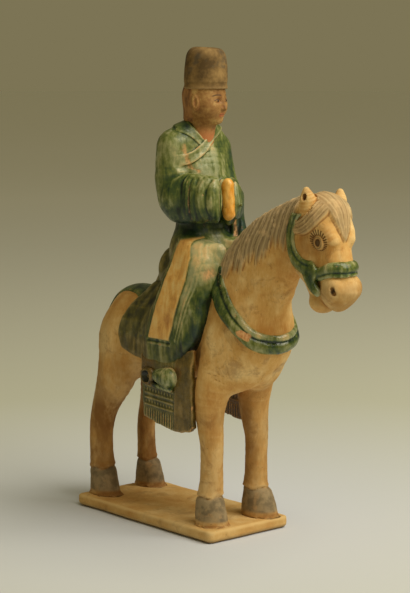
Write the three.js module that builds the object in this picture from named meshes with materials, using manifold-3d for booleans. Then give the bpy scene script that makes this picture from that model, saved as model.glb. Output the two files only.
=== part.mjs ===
// A lead-glazed pottery figure of a musician on horseback, fired in one piece, on its own plinth.
// Millimetres. +X is the way the horse faces, +Y its left side, +Z up.
// The origin is the centre of the plinth's underside.
import * as THREE from 'three';
import { mergeVertices } from 'three/addons/utils/BufferGeometryUtils.js';
import Module from 'manifold-3d';

const wasm = await Module();
wasm.setup();

// Plinth
const PLINTH_LENGTH = 158;
const PLINTH_WIDTH = 78.4;
const PLINTH_HEIGHT = 9;
const PLINTH_CORNER = 4.6;
const PLINTH_EDGE = 1.4;

// Where the figure stands
const FIGURE_Y = 1.3;
const FOOT_SINK = 4;

// Horse
const HOOF_HEIGHT = 20;
const LEG_SPREAD = 21.8;
const HOOF_SPREAD = 23.3;
const FRONT_LEG_X = 59;
const HIND_LEG_X = -69;
const FRONT_LEG_RADIUS = 8.3;
const HIND_LEG_RADII = { right: 8.8, left: 7.0 };
const BARREL = { centre: [2, 0, 139], radii: [68, 29, 31] };
const NECK_FLATNESS = 0.58;
const CREST = [[56, 210], [75, 224], [95, 234.5], [118, 246.5], [142, 252]];
const MANE_LOCKS = 10;
const MANE_THICKNESS = 1.6;
const MANE_RELIEF = 0.03;
const MANE_ABOVE = 16;
const MANE_DROP = 33;
const FORELOCK_THICKNESS = 1.4;
const FORELOCK_SWEEP = { centre: [138, 254], radius: 24.5, width: 10 };

// Harness
const STRAP_RELIEF = 2.6;
const BREAST_STRAP = { centre: [134, 224.5], radius: 83.7, width: 10 };
const CHEEK_STRAP = { centre: [155.5, 224.5], radius: 22.6, width: 10.5 };
const NOSEBAND_WIDTH = 9.5;
const CRUPPER_RELIEF = 1.4;
const CRUPPER_HALF_WIDTH = 12;
const CRUPPER_REACH = [-82, -8];

// Robe skirts and saddle flaps
const SKIRT_HALF_WIDTH = 34.5;
const SKIRT_BACK_HALF_WIDTH = 31;
const SKIRT_OVERLAP = 2;
const SKIRT_PLEATS = 34;
const SKIRT_PLEAT_DEPTH = 0.8;
const SKIRT_HIP = [10, 222];
const PANEL_BOTTOM = 142;
const PANEL_RELIEF = 0.9;
const FLAP_THICKNESS = 3.8;
const FLAP_Y = 31.8;
const FLAP_BACK = { right: -8, left: -26 };
const FLAP_TOP = 126;
const BOOT_Y = 35.4;

// Rider
const RIDER_Y = 2;
const HEAD = [25.8, RIDER_Y, 311.3];
const HEAD_TURN = 18;
const HEAD_SCALE = 1.04;
const HAT_BOTTOM = 321.6;
const TOTAL_HEIGHT = 350;
const HAT_RADIUS = 16;
const HAT_TAPER = 1.3;

const CLAY = new THREE.MeshStandardMaterial({ color: 0xc79a62, roughness: 0.75, metalness: 0 });
const SLAB_CLAY = new THREE.MeshStandardMaterial({ color: 0xcba671, roughness: 0.85, metalness: 0 });

// Solids from three.js geometries

function solid(geometry) {
  const bare = geometry.clone();
  bare.deleteAttribute('normal');
  bare.deleteAttribute('uv');
  const merged = mergeVertices(bare, 1e-4);
  const corners = merged.index.array;
  const kept = [];
  for (let i = 0; i < corners.length; i += 3) {
    const [a, b, c] = corners.slice(i, i + 3);
    if (a !== b && b !== c && c !== a) kept.push(a, b, c);
  }
  return new wasm.Manifold(new wasm.Mesh({
    numProp: 3,
    vertProperties: merged.attributes.position.array,
    triVerts: new Uint32Array(kept),
  }));
}

function geometryOf(manifold) {
  const mesh = manifold.getMesh();
  const geometry = new THREE.BufferGeometry();
  geometry.setAttribute('position', new THREE.BufferAttribute(mesh.vertProperties, 3));
  geometry.setIndex(new THREE.BufferAttribute(mesh.triVerts, 1));
  geometry.computeVertexNormals();
  return geometry;
}

function join(solids) {
  return solids.reduce((whole, next) => whole.add(next));
}

// An ellipsoid with its nose tipped down by `tip` and turned to the left by `turn`, in degrees.
function ellipsoid(centre, radii, { tip = 0, turn = 0, around = 12, rows = 8 } = {}) {
  const geometry = new THREE.SphereGeometry(1, around, rows);
  geometry.rotateX(Math.PI / 2);
  geometry.scale(...radii);
  geometry.rotateY(THREE.MathUtils.degToRad(tip));
  geometry.rotateZ(THREE.MathUtils.degToRad(turn));
  geometry.translate(...centre);
  return solid(geometry);
}

// A round-ended limb through stations [x, y, z, radius, radius across], relief(t, angle) scaling it.
// The radius across is measured along the axis `across`, which the path must not run along.
function limb(stations, { around = 8, steps = 4, caps = 2, relief = () => 1, across = [0, 1, 0] } = {}) {
  const path = new THREE.CatmullRomCurve3(stations.map(([x, y, z]) => new THREE.Vector3(x, y, z)));
  const sizes = new THREE.CatmullRomCurve3(
    stations.map(([, , , radius, wide = radius]) => new THREE.Vector3(radius, wide, 0)),
  );
  const geometry = new THREE.CapsuleGeometry(1, 2, caps, around, steps);
  const position = geometry.attributes.position;
  const vertex = new THREE.Vector3();
  const axis = new THREE.Vector3(...across);
  const side = new THREE.Vector3();
  const inward = new THREE.Vector3();
  for (let i = 0; i < position.count; i++) {
    vertex.fromBufferAttribute(position, i);
    const t = THREE.MathUtils.clamp((vertex.y + 1) / 2, 0, 1);
    const beyond = vertex.y - THREE.MathUtils.clamp(vertex.y, -1, 1);
    const scale = relief(t, Math.atan2(vertex.x, vertex.z));
    const tangent = path.getTangent(t);
    const size = sizes.getPoint(t);
    side.copy(axis).projectOnPlane(tangent).normalize();
    inward.crossVectors(side, tangent);
    const point = path.getPoint(t);
    point.addScaledVector(side, vertex.x * size.y * scale);
    point.addScaledVector(inward, vertex.z * size.x * scale);
    point.addScaledVector(tangent, beyond * Math.min(size.x, size.y));
    position.setXYZ(i, point.x, point.y, point.z);
  }
  return solid(geometry);
}

// A closed outline in the X-Z plane, extruded across Y between two values.
function slab(outline, fromY, toY, bevel = 0) {
  const depth = toY - fromY - 2 * bevel;
  const settings = {
    depth,
    bevelEnabled: bevel > 0,
    bevelSize: bevel,
    bevelThickness: bevel,
    bevelOffset: -bevel,
    bevelSegments: 1,
    curveSegments: 3,
  };
  const geometry = new THREE.ExtrudeGeometry(outline, settings);
  geometry.rotateX(Math.PI / 2);
  geometry.translate(0, toY - bevel, 0);
  return solid(geometry);
}

function roundedOutline(points) {
  const curve = new THREE.SplineCurve(points.map(([x, z]) => new THREE.Vector2(x, z)));
  return new THREE.Shape(curve.getPoints(points.length * 2));
}

// A flat ring in the X-Z plane, as an arc band of the given width.
function arcBand([x, z], radius, width, start, end) {
  const band = new THREE.Shape();
  band.absarc(x, z, radius + width / 2, start, end, false);
  band.absarc(x, z, radius - width / 2, end, start, true);
  return band;
}

function both(make) {
  return [make(-1), make(1)];
}

// Plinth

function plinth() {
  const halfLength = PLINTH_LENGTH / 2 - PLINTH_EDGE - PLINTH_CORNER;
  const halfWidth = PLINTH_WIDTH / 2 - PLINTH_EDGE - PLINTH_CORNER;
  const outline = new THREE.Shape();
  const corners = [[1, 1], [-1, 1], [-1, -1], [1, -1]];
  corners.forEach(([alongX, alongY], i) => {
    const start = (i * Math.PI) / 2;
    outline.absarc(alongX * halfLength, alongY * halfWidth, PLINTH_CORNER, start, start + Math.PI / 2);
  });
  const geometry = new THREE.ExtrudeGeometry(outline, {
    depth: PLINTH_HEIGHT - 2 * PLINTH_EDGE,
    bevelSize: PLINTH_EDGE,
    bevelThickness: PLINTH_EDGE,
    bevelSegments: 1,
    curveSegments: 3,
  });
  geometry.translate(0, 0, PLINTH_EDGE);
  return solid(geometry);
}

// Horse

// The trunk, swollen by `swell` where a strap or a cloth lies on it.
function trunk(swell = 0) {
  const grown = (radii) => radii.map((radius) => radius + swell);
  return join([
    ellipsoid([-46, 0, 136], grown([33.5, 27, 35.5])),
    ellipsoid(BARREL.centre, grown(BARREL.radii), { around: 14 }),
    ellipsoid([72, 0, 146], grown([35.5, 28, 36.5])),
    ellipsoid([90, 0, 152], grown([19.5, 22.5, 25.5]), { around: 10, rows: 7 }),
    ...both((side) => ellipsoid([72, side * 12, 130], grown([19, 14, 24]), { around: 8, rows: 6 })),
    neck(swell),
  ]);
}

function neck(swell = 0, settings = {}) {
  const station = (x, z, radius) => [x, 0, z, radius + swell, radius * NECK_FLATNESS + swell];
  return limb([
    station(70.8, 168.4, 36),
    station(94.6, 200, 29),
    station(118, 221.5, 20.8),
    station(134.6, 231.2, 17.6),
  ], { around: 10, steps: 3, ...settings });
}

function frontLeg(side) {
  const y = side * LEG_SPREAD;
  const x = FRONT_LEG_X;
  const r = FRONT_LEG_RADIUS;
  return limb([
    [x + 9, 0.55 * y, 142, 17],
    [x + 3, 0.86 * y, 118, 14.5],
    [x - 2, 0.98 * y, 93, r + 2.8],
    [x + 0.6, y, 68, r + 0.3],
    [x + 0.4, y, 44, r],
    [x - 0.6, 1.03 * y, 28, r + 0.9],
  ], { steps: 5, caps: 1 });
}

function hindLeg(side) {
  const y = side * LEG_SPREAD;
  const x = HIND_LEG_X;
  const r = side < 0 ? HIND_LEG_RADII.right : HIND_LEG_RADII.left;
  return limb([
    [x + 20, 0.68 * y, 130, 23, 17],
    [x + 17, 0.92 * y, 103, 16, 13.5],
    [x + 6, y, 80, r + 2.4, r + 1],
    [x, y, 60, r + 0.2],
    [x, y, 42, r],
    [x + 1, y, 27, r + 0.6],
  ], { steps: 5, caps: 1 });
}

// A hoof is a cone, longer than wide, leaning forward down to the plinth.
function hoof(x, y, topRadius, soleRadius, lean) {
  const height = HOOF_HEIGHT + FOOT_SINK;
  const geometry = new THREE.CylinderGeometry(topRadius, soleRadius, height, 10, 1);
  geometry.rotateX(Math.PI / 2);
  geometry.scale(1.12, 0.9, 1);
  const shear = new THREE.Matrix4().makeShear(0, 0, 0, 0, -lean / height, 0);
  geometry.applyMatrix4(shear);
  geometry.translate(x + lean / 2, y, PLINTH_HEIGHT - FOOT_SINK + height / 2);
  return solid(geometry);
}

function legs() {
  return join(both((side) => join([
    frontLeg(side),
    hindLeg(side),
    hoof(FRONT_LEG_X, side * HOOF_SPREAD, 9.8, side < 0 ? 12 : 13.4, 2.5),
    hoof(HIND_LEG_X + 1.5, side * (HOOF_SPREAD - 0.9), side < 0 ? 9.8 : 8.8, 11.6, 2.5),
  ])));
}

function skull(swell = 0) {
  const grown = (radii) => radii.map((radius) => radius + swell);
  const small = { around: 8, rows: 5 };
  return join([
    ellipsoid([147.5, 0, 230], grown([20, 17.8, 22.8]), { tip: 8 }),
    limb([[155, 0, 235, 13 + swell], [158.5, 0, 217, 13 + swell], [163, 0, 201, 12.5 + swell]]),
    limb([[144, 0, 198, 10.5 + swell], [150, 0, 186, 9 + swell]], { steps: 1 }),
    ellipsoid([167, 0, 187], grown([13.6, 13.6, 12.8]), { around: 11, rows: 7 }),
    ...both((side) => ellipsoid([143, side * 6.5, 212], grown([15.5, 10, 18.5]), small)),
  ]);
}

function horseHead() {
  const small = { around: 6, rows: 4 };
  const eye = (side) => ellipsoid([159.5, side * 12.8, 221], [4.8, 3.6, 4.8], small);
  const wing = { around: 7, rows: 5 };
  const nostrilWing = (side) => ellipsoid([169.8, side * 9, 189.8], [6.8, 5.8, 7.4], wing);
  const nostril = (side) => ellipsoid([173, side * 13.1, 189.3], [1.7, 2.3, 3.2], small);
  return join([
    skull(),
    ellipsoid([150.6, 0, 179.2], [9.2, 9.8, 7.8], { around: 8, rows: 5 }),
    ...both(eye),
    ...both(nostrilWing),
    ...both(ear),
  ]).subtract(join(both(nostril)));
}

// A blunt ear with a pit in its outer face. The left one stands a little lower and further forward.
function ear(side) {
  const [dx, dz] = side > 0 ? [1.5, -3] : [0, 0];
  const place = (x, y, z) => [x + dx, side * y, z + dz];
  const cone = limb(
    [[...place(149, 12, 243), 7.4], [...place(149.4, 14.4, 250.5), 5.2], [...place(149, 15.2, 256), 2.6]],
    { around: 7, steps: 2, caps: 1 },
  );
  return cone.subtract(ellipsoid(place(150.4, 18.6, 251.6), [2, 3, 3], { around: 6, rows: 4 }));
}

// The mane, combed down both sides of the neck in rounded locks.
function mane() {
  const combed = (t) => 1 + MANE_RELIEF * Math.cos(2 * Math.PI * MANE_LOCKS * t);
  const hair = neck(MANE_THICKNESS, { around: 8, steps: 2 * MANE_LOCKS, caps: 1, relief: combed });
  const crest = new THREE.SplineCurve(CREST.map(([x, z]) => new THREE.Vector2(x, z))).getPoints(6);
  const upper = crest.map((point) => new THREE.Vector2(point.x, point.y + MANE_ABOVE));
  const lower = crest.map((point) => new THREE.Vector2(point.x, point.y - MANE_DROP)).reverse();
  const outline = new THREE.Shape([...upper, ...lower]);
  return hair.intersect(slab(outline, -60, 60));
}

// The parted forelock: a lock that falls to a point between the eyes, and a sweep of hair behind each brow.
function forelock() {
  const lock = limb(
    [[149, 0, 251, 3.4, 12], [161, 0, 246, 3.2, 10.5], [167.5, 0, 234, 3, 6.5], [169.5, 0, 224, 2, 2.4]],
    { around: 7, steps: 3, caps: 1 },
  );
  const { centre, radius, width } = FORELOCK_SWEEP;
  const sweep = arcBand(centre, radius, width, 1.6 * Math.PI, 1.92 * Math.PI);
  return lock.add(strap(skull(FORELOCK_THICKNESS), sweep));
}

function tail() {
  return limb(
    [[-68, 0, 150, 6], [-77, 0, 138, 5.4], [-78, 0, 116, 5.2], [-74, 0, 97, 3.4]],
    { around: 7, steps: 3, caps: 1 },
  );
}

// Harness

// What is left of a swollen body inside a band that runs right across it.
function strap(swollenBody, band) {
  return swollenBody.intersect(slab(band, -60, 60));
}

function harness() {
  const swollenSkull = skull(STRAP_RELIEF);
  const arc = ({ centre, radius, width }, start, end) => (
    arcBand(centre, radius, width, start * Math.PI, end * Math.PI)
  );
  const tab = (side) => limb(
    [[150.5, side * 12.6, 199, 5.5, 4], [153, side * 12.6, 191, 3.8], [156, side * 12.2, 186.5, 2.8]],
    { around: 6, steps: 2, caps: 1 },
  );
  return join([
    strap(trunk(STRAP_RELIEF), arc(BREAST_STRAP, 1.1, 1.47)),
    strap(swollenSkull, arc(CHEEK_STRAP, 0.74, 1.46)),
    strap(swollenSkull, nosebandOutline()),
    ...both(tab),
    crupper(),
  ]);
}

// The noseband rises from the knots at the jaw to the front of the nose.
function nosebandOutline() {
  const middle = (x) => 200 + 3.6 * THREE.MathUtils.smoothstep(x, 156, 172);
  const stations = [146, 156, 164, 172, 188];
  const lower = stations.map((x) => new THREE.Vector2(x, middle(x) - NOSEBAND_WIDTH / 2));
  const upper = stations.map((x) => new THREE.Vector2(x, middle(x) + NOSEBAND_WIDTH / 2)).reverse();
  return new THREE.Shape([...lower, ...upper]);
}

// The glazed strip over the ridge of the rump, from the saddle to the tail.
function crupper() {
  const [from, to] = CRUPPER_REACH;
  const strip = new THREE.BoxGeometry(to - from, 2 * CRUPPER_HALF_WIDTH, 40);
  strip.translate((from + to) / 2, 0, 158);
  return trunk(CRUPPER_RELIEF).intersect(solid(strip));
}

// Saddle, skirts and flaps

// How far the robe's skirt stands out from the middle plane at (x, z).
function skirtHalfWidth(x, z) {
  const { smoothstep } = THREE.MathUtils;
  const above = z - PANEL_BOTTOM;
  const panelMiddle = 17.1 + 0.37 * above - 0.0022 * above * above;
  const panelHalf = 9.6 + 4.2 * (1 - smoothstep(z, PANEL_BOTTOM, 190));
  const across = (x - panelMiddle) / panelHalf;
  const leg = SKIRT_HALF_WIDTH - 16.5 * smoothstep(z, 165, 235);
  const back = SKIRT_BACK_HALF_WIDTH - 21 * smoothstep(z, 148, 182);
  const behind = 1 - smoothstep(across, -2.6, -1.1);
  const front = (4 + 8 * smoothstep(z, 168, 192)) * smoothstep(x, 40, 64);
  const inPanel = 1 - smoothstep(Math.abs(across), 0.9, 1.1);
  const onPanel = smoothstep(z, PANEL_BOTTOM - 2, PANEL_BOTTOM) * inPanel;
  const angle = Math.atan2(x - SKIRT_HIP[0], SKIRT_HIP[1] - z);
  const pleat = SKIRT_PLEAT_DEPTH * Math.cos(SKIRT_PLEATS * angle) * smoothstep(Math.abs(across), 1.1, 1.6);
  return leg + (back - leg) * behind - front + PANEL_RELIEF * onPanel + pleat;
}

function skirt(side) {
  const outline = roundedOutline([
    [52, 208], [60.5, 198], [60.5, 183], [56.5, 162], [46.5, 136], [20, 120.5],
    [-20, 123], [-38, 131], [-35, 156], [-18, 183], [14, 208],
  ]);
  const cloth = new THREE.BoxGeometry(112, 1, 100, 17, 1, 4);
  cloth.translate(13, 0, 168);
  const position = cloth.attributes.position;
  for (let i = 0; i < position.count; i++) {
    const x = position.getX(i);
    const z = position.getZ(i);
    const outer = position.getY(i) * side > 0;
    position.setY(i, side * (outer ? skirtHalfWidth(x, z) : -SKIRT_OVERLAP));
  }
  return solid(cloth).intersect(slab(outline, -60, 60));
}

function flap(side) {
  const back = side < 0 ? FLAP_BACK.right : FLAP_BACK.left;
  const outline = new THREE.Shape();
  outline.moveTo(back, FLAP_TOP);
  outline.lineTo(back + 4.5, 81);
  outline.quadraticCurveTo(25, 72, 49, 76);
  outline.quadraticCurveTo(53, 77, 52.5, 82);
  outline.lineTo(50.5, FLAP_TOP + 10);
  const middle = side * FLAP_Y;
  return slab(outline, middle - FLAP_THICKNESS / 2, middle + FLAP_THICKNESS / 2, 1);
}

function flapBacking(side) {
  return limb([[0, side * 27, 112, 9, 8], [48, side * 27, 112, 9, 8]], { around: 6, steps: 1, caps: 1 });
}

function foot(side) {
  const y = side * BOOT_Y;
  return limb([[13, y, 114, 4.8, 4.2], [20, y, 113, 6.2, 5.6], [26.5, y, 112.4, 7.4, 6.4]], { steps: 2 });
}

// The round stirrup behind the boot, open on its outer face, and the bar it ends in under the sole.
function stirrup(side) {
  const ring = limb(
    [[2, side * 33.8, 111.4, 7, 4.2], [3, side * 33.8, 111.2, 7, 4.2]],
    { steps: 1, caps: 1 },
  );
  const opening = ellipsoid([2.4, side * 38.4, 111.4], [4, 5, 4.9], { around: 8, rows: 5 });
  const tread = limb(
    [[9, side * BOOT_Y, 106.4, 1.8], [29, side * BOOT_Y, 104.6, 1.8]],
    { around: 5, steps: 1, caps: 1 },
  );
  return ring.subtract(opening).add(tread);
}

function saddle() {
  const thigh = (side) => limb(
    [[22, side * 11, 206, 14], [41, side * 16, 199, 12], [49, side * 19.5, 187, 9]],
    { steps: 2 },
  );
  return join([
    ellipsoid([-7, 0, 190], [7.5, 15, 15.5], { tip: 8, around: 10, rows: 7 }),
    ...both(thigh),
    ...both(skirt),
    ...both(flap),
    ...both(flapBacking),
    ...both(foot),
    ...both(stirrup),
  ]);
}

// Rider

function torso() {
  const y = RIDER_Y;
  const body = limb([
    [19, y, 200, 22, 22],
    [19.5, y, 216, 18, 20],
    [19, y, 236, 16.5, 20],
    [17.5, y, 258, 17, 22],
    [16.5, y, 275, 14.5, 24],
    [17.5, y, 286, 10.5, 18],
  ], { around: 11, steps: 6 });
  const yoke = limb([
    [13.5, y - 18, 282, 11.5],
    [14.5, y - 8, 288, 10.5],
    [15.5, y + 6, 288, 10.5],
    [14, y + 19, 278.5, 10.5],
  ], { around: 7, steps: 4, across: [1, 0, 0] });
  const neckOpening = limb([[24, y + 1, 304, 10, 11], [34, y + 2, 294, 6.5, 7]], { steps: 1 });
  return join([body.add(yoke).subtract(neckOpening), collar()]);
}

// The crossed collar, a band from behind the neck down to the chest on each side.
function collar() {
  const band = (turns, heights, reaches) => limb(turns.map((turn, i) => {
    const angle = THREE.MathUtils.degToRad(turn);
    const reach = reaches[i];
    return [17 + reach * Math.cos(angle), RIDER_Y + reach * Math.sin(angle), heights[i], 2.4, 3];
  }), { around: 4, steps: 7, caps: 1, across: [0, 0, 1] });
  return join([
    band([-150, -92, -53, -23, -6], [298, 297, 291, 283, 279], [8, 10, 13.5, 16, 16.5]),
    band([150, 92, 46, 11, -19, -58], [298, 297, 293.5, 287.5, 280.5, 272], [8, 10, 13, 15.5, 17.5, 19]),
  ]);
}

// Folds that run along a sleeve's hanging cuff.
function sleeveFolds(t, angle) {
  return 1 + 0.06 * Math.cos(5 * angle) * t;
}

function rightArm() {
  return join([
    limb([[13.5, -19, 280, 12.2], [12.5, -20.4, 260, 11.6], [17.5, -21, 245, 11.8]], { steps: 3 }),
    limb([[22, -20.3, 243, 18, 10], [34, -19, 243.8, 18, 9], [50, -12.5, 243, 17, 7]],
      { around: 10, steps: 2, relief: sleeveFolds }),
  ]);
}

function leftArm() {
  return join([
    limb([[14, 22.5, 277, 10.5], [15.5, 25.5, 258, 10.6], [20, 26, 243, 10.6]], { steps: 3 }),
    limb([[23, 23, 239, 18, 9], [32, 15.5, 240, 17.5, 7.5], [43, 6.5, 241, 15.5, 5.5]],
      { around: 10, steps: 2, relief: sleeveFolds }),
    limb([[25, 24, 236, 10, 8.5], [32, 24.5, 215, 11, 8.3]], { steps: 2 }),
  ]);
}

// The amber-glazed upright piece held between the hands.
function instrument() {
  return limb(
    [[51.8, 0, 253.6, 4.7, 4.2], [52.2, 0, 243, 5.1, 4.6], [53, 0, 232.6, 4.8, 4.2]],
    { steps: 2 },
  );
}

// A place given from the middle of the rider's head, its face towards +X, before the head is turned.
function inHead([x, y, z]) {
  const place = new THREE.Vector3(x, y, z).multiplyScalar(HEAD_SCALE);
  place.applyAxisAngle(new THREE.Vector3(0, 0, 1), THREE.MathUtils.degToRad(HEAD_TURN));
  return place.add(new THREE.Vector3(...HEAD)).toArray();
}

function riderHead() {
  const part = (centre, radii, settings) => ellipsoid(
    inHead(centre),
    radii.map((radius) => radius * HEAD_SCALE),
    { turn: HEAD_TURN, ...settings },
  );
  const small = { around: 6, rows: 5 };
  const bar = ([x, y, z, ...sizes]) => [...inHead([x, y, z]), ...sizes];
  return join([
    part([-1.2, 0, 6], [14.8, 14.2, 19], { around: 11 }),
    part([2.8, 0, -3.5], [10.6, 11, 11.8], { around: 9, rows: 7 }),
    part([9.3, 0, -11.5], [3.4, 3.6, 2.8], small),
    ...both((side) => part([6.3, side * 6.2, -2.4], [5.2, 5, 5.4], small)),
    ...both((side) => part([-0.6, side * 13.9, 0.6], [3, 2.2, 5.8], small)),
    limb([bar([12.4, 0, 4, 1.4]), bar([15, 0, -3.3, 1.9])], { around: 5, steps: 1, caps: 1 }),
    limb([bar([-10, 0, 6, 6, 9.5]), bar([-10.3, 0, -10, 5.5, 9])], { steps: 1 }),
    limb([[20, RIDER_Y, 281, 9.5], [23.5, RIDER_Y, 299, 8.8]], { around: 9, steps: 1, caps: 1 }),
  ]);
}

function hat() {
  const rim = 5;
  const top = HAT_RADIUS - HAT_TAPER;
  const profile = new THREE.Path();
  profile.moveTo(0, HAT_BOTTOM);
  profile.lineTo(HAT_RADIUS, HAT_BOTTOM);
  profile.lineTo(top, TOTAL_HEIGHT - rim);
  profile.quadraticCurveTo(top - 0.4, TOTAL_HEIGHT, top - rim, TOTAL_HEIGHT);
  profile.lineTo(0, TOTAL_HEIGHT);
  const geometry = new THREE.LatheGeometry(profile.getPoints(3), 16);
  geometry.rotateX(Math.PI / 2);
  geometry.translate(HEAD[0], RIDER_Y, 0);
  return solid(geometry);
}

// The outer skin of a solid, with every sealed pocket inside it filled.
function filled(whole) {
  return whole.decompose().reduce((a, b) => (a.volume() > b.volume() ? a : b));
}

function figure() {
  const ground = new THREE.BoxGeometry(400, 200, 100);
  ground.translate(0, 0, PLINTH_HEIGHT - 50);
  const whole = join([
    trunk(),
    legs(),
    horseHead(),
    mane(),
    forelock(),
    tail(),
    harness(),
    saddle(),
    torso(),
    rightArm(),
    leftArm(),
    instrument(),
    riderHead(),
    hat(),
  ]);
  return filled(whole.subtract(solid(ground)));
}

function named(name, manifold, material) {
  const mesh = new THREE.Mesh(geometryOf(manifold), material);
  mesh.name = name;
  return mesh;
}

const group = new THREE.Group();
const horseAndRider = named('horse_and_rider', figure(), CLAY);
horseAndRider.position.y = FIGURE_Y;
group.add(named('plinth', plinth(), SLAB_CLAY), horseAndRider);

export default group;
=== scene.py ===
"""The looks of a lead-glazed pottery figure: a musician on horseback, on its plinth.

The forms are written as distance fields in millimetres, in the figure's own frame: +X is the way the horse
faces, +Y its left, +Z up, and the figure's middle plane is FIGURE_Y from the plinth's middle plane.
Each field becomes a mesh in metres, with painted and glazed areas kept as vertex attributes for the shaders.
"""
import math

import bpy
import numpy as np
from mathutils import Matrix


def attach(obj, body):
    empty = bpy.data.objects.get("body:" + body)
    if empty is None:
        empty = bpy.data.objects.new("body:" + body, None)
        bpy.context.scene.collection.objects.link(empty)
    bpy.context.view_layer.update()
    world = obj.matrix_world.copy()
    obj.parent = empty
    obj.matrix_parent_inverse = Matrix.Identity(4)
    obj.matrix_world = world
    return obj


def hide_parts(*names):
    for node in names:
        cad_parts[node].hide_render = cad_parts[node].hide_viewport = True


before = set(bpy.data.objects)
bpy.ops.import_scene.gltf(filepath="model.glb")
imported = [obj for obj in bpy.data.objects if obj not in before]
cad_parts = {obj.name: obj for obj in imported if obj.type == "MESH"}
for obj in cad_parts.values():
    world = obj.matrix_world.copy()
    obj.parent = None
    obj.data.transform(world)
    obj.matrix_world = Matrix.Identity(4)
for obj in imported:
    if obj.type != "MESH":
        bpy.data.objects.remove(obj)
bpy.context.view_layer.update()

MM = 0.001
FIGURE_Y = 1.3
PLINTH_TOP = 9.0
RIDER_Y = 2.0
BLOCK = 300000

# Field tools: a point set is a tuple of float32 arrays (x, y, z)


def smooth_min(a, b, k):
    h = np.maximum(k - np.abs(a - b), 0) / k
    return np.minimum(a, b) - h * h * k * 0.25


def smooth_max(a, b, k):
    return -smooth_min(-a, -b, k)


def joined(field, *others):
    """A field smoothly joined with further ones in turn, each given with the width of its blend."""
    for other, width in others:
        field = smooth_min(field, other, width)
    return field


def rise(value, low, high):
    """Smoothly from 0, where value is low, to 1, where it is high."""
    t = np.clip((value - low) / (high - low), 0, 1)
    return t * t * (3 - 2 * t)


def fall(value, low, high):
    return 1 - rise(value, low, high)


def bell(value, width):
    return np.exp(-((value / width) ** 2))


def mirrored(p):
    return p[0], np.abs(p[1]), p[2]


def moved(p, dy):
    return p[0], p[1] - dy, p[2]


def near(p, low, high, make, reach=9.0):
    """make(p) where p is within reach of the box, and the distance to the box elsewhere."""
    gaps = [np.maximum(np.maximum(low[i] - p[i], p[i] - high[i]), 0) for i in range(3)]
    out = np.sqrt(gaps[0] ** 2 + gaps[1] ** 2 + gaps[2] ** 2)
    close = out < reach
    if close.any():
        out[close] = make(tuple(axis[close] for axis in p))
    return out


def ellipsoid(p, centre, radii, tip=0.0, turn=0.0):
    """Tip lowers its +X end, turn swings it to the left, both in degrees."""
    x, y, z = (p[i] - centre[i] for i in range(3))
    if turn:
        c, s = math.cos(math.radians(turn)), math.sin(math.radians(turn))
        x, y = c * x + s * y, c * y - s * x
    if tip:
        c, s = math.cos(math.radians(tip)), math.sin(math.radians(tip))
        x, z = c * x - s * z, s * x + c * z
    a = np.sqrt((x / radii[0]) ** 2 + (y / radii[1]) ** 2 + (z / radii[2]) ** 2)
    b = np.sqrt((x / radii[0] ** 2) ** 2 + (y / radii[1] ** 2) ** 2 + (z / radii[2] ** 2) ** 2)
    return a * (a - 1) / (b + 1e-6)


def catmull_rom(points, steps):
    """Points on a smooth curve through the given rows, steps for each span."""
    rows = np.array([points[0], *points, points[-1]], float)
    out = []
    for i in range(1, len(rows) - 2):
        a, b, c, d = rows[i - 1:i + 3]
        for t in np.arange(steps) / steps:
            out.append(0.5 * (2 * b + (c - a) * t + (2 * a - 5 * b + 4 * c - d) * t * t
                              + (3 * b - a - 3 * c + d) * t ** 3))
    return np.array([*out, rows[-1]])


def limb(p, stations, steps=4):
    """A round-ended limb through rows of x, y, z, radius and, if it isn't round, the radius across Y."""
    rows = [(*row, row[3]) if len(row) == 4 else row for row in stations]
    low = [min(r[i] - max(r[3], r[4]) for r in rows) for i in range(3)]
    high = [max(r[i] + max(r[3], r[4]) for r in rows) for i in range(3)]
    knots = catmull_rom(rows, steps if len(rows) > 2 else 1)
    return near(p, low, high, lambda q: _limb(q, knots))


def _limb(p, knots):
    out = None
    for a, b in zip(knots[:-1], knots[1:]):
        ax = b[:3] - a[:3]
        x, y, z = (p[i] - a[i] for i in range(3))
        t = np.clip((x * ax[0] + y * ax[1] + z * ax[2]) / (ax @ ax), 0, 1)
        radius = a[3] + t * (b[3] - a[3])
        flat = (a[4] + t * (b[4] - a[4])) / radius
        dy = (y - t * ax[1]) / flat
        gap = np.sqrt((x - t * ax[0]) ** 2 + dy ** 2 + (z - t * ax[2]) ** 2) - radius
        gap = gap * np.minimum(flat, 1)
        out = gap if out is None else np.minimum(out, gap)
    return out


def polygon(x, z, corners):
    """Signed distance to a closed outline in the X-Z plane."""
    pts = np.array(corners, np.float32)
    gap = np.full(x.shape, 1e9, np.float32)
    sign = np.ones(x.shape, np.float32)
    for a, b in zip(pts, np.roll(pts, 1, axis=0)):
        ex, ez = b - a
        wx, wz = x - a[0], z - a[1]
        t = np.clip((wx * ex + wz * ez) / (ex * ex + ez * ez), 0, 1)
        gap = np.minimum(gap, (wx - ex * t) ** 2 + (wz - ez * t) ** 2)
        above, below, left = z >= a[1], z < b[1], ex * wz > ez * wx
        sign[(above & below & left) | (~above & ~below & ~left)] *= -1
    return sign * np.sqrt(gap)


def smooth_outline(points, steps=4):
    """A closed outline rounded through its points."""
    rows = [(*row, 0, 0) for row in [points[-1], *points, points[0], points[1]]]
    return catmull_rom(rows, steps)[steps:-2 * steps, :2]


def polyline(x, z, points):
    """Distance to an open line in the X-Z plane."""
    gap = np.full(x.shape, 1e9, np.float32)
    for (ax, az), (bx, bz) in zip(points[:-1], points[1:]):
        ex, ez = bx - ax, bz - az
        t = np.clip(((x - ax) * ex + (z - az) * ez) / (ex * ex + ez * ez), 0, 1)
        gap = np.minimum(gap, (x - ax - ex * t) ** 2 + (z - az - ez * t) ** 2)
    return np.sqrt(gap)


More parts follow.
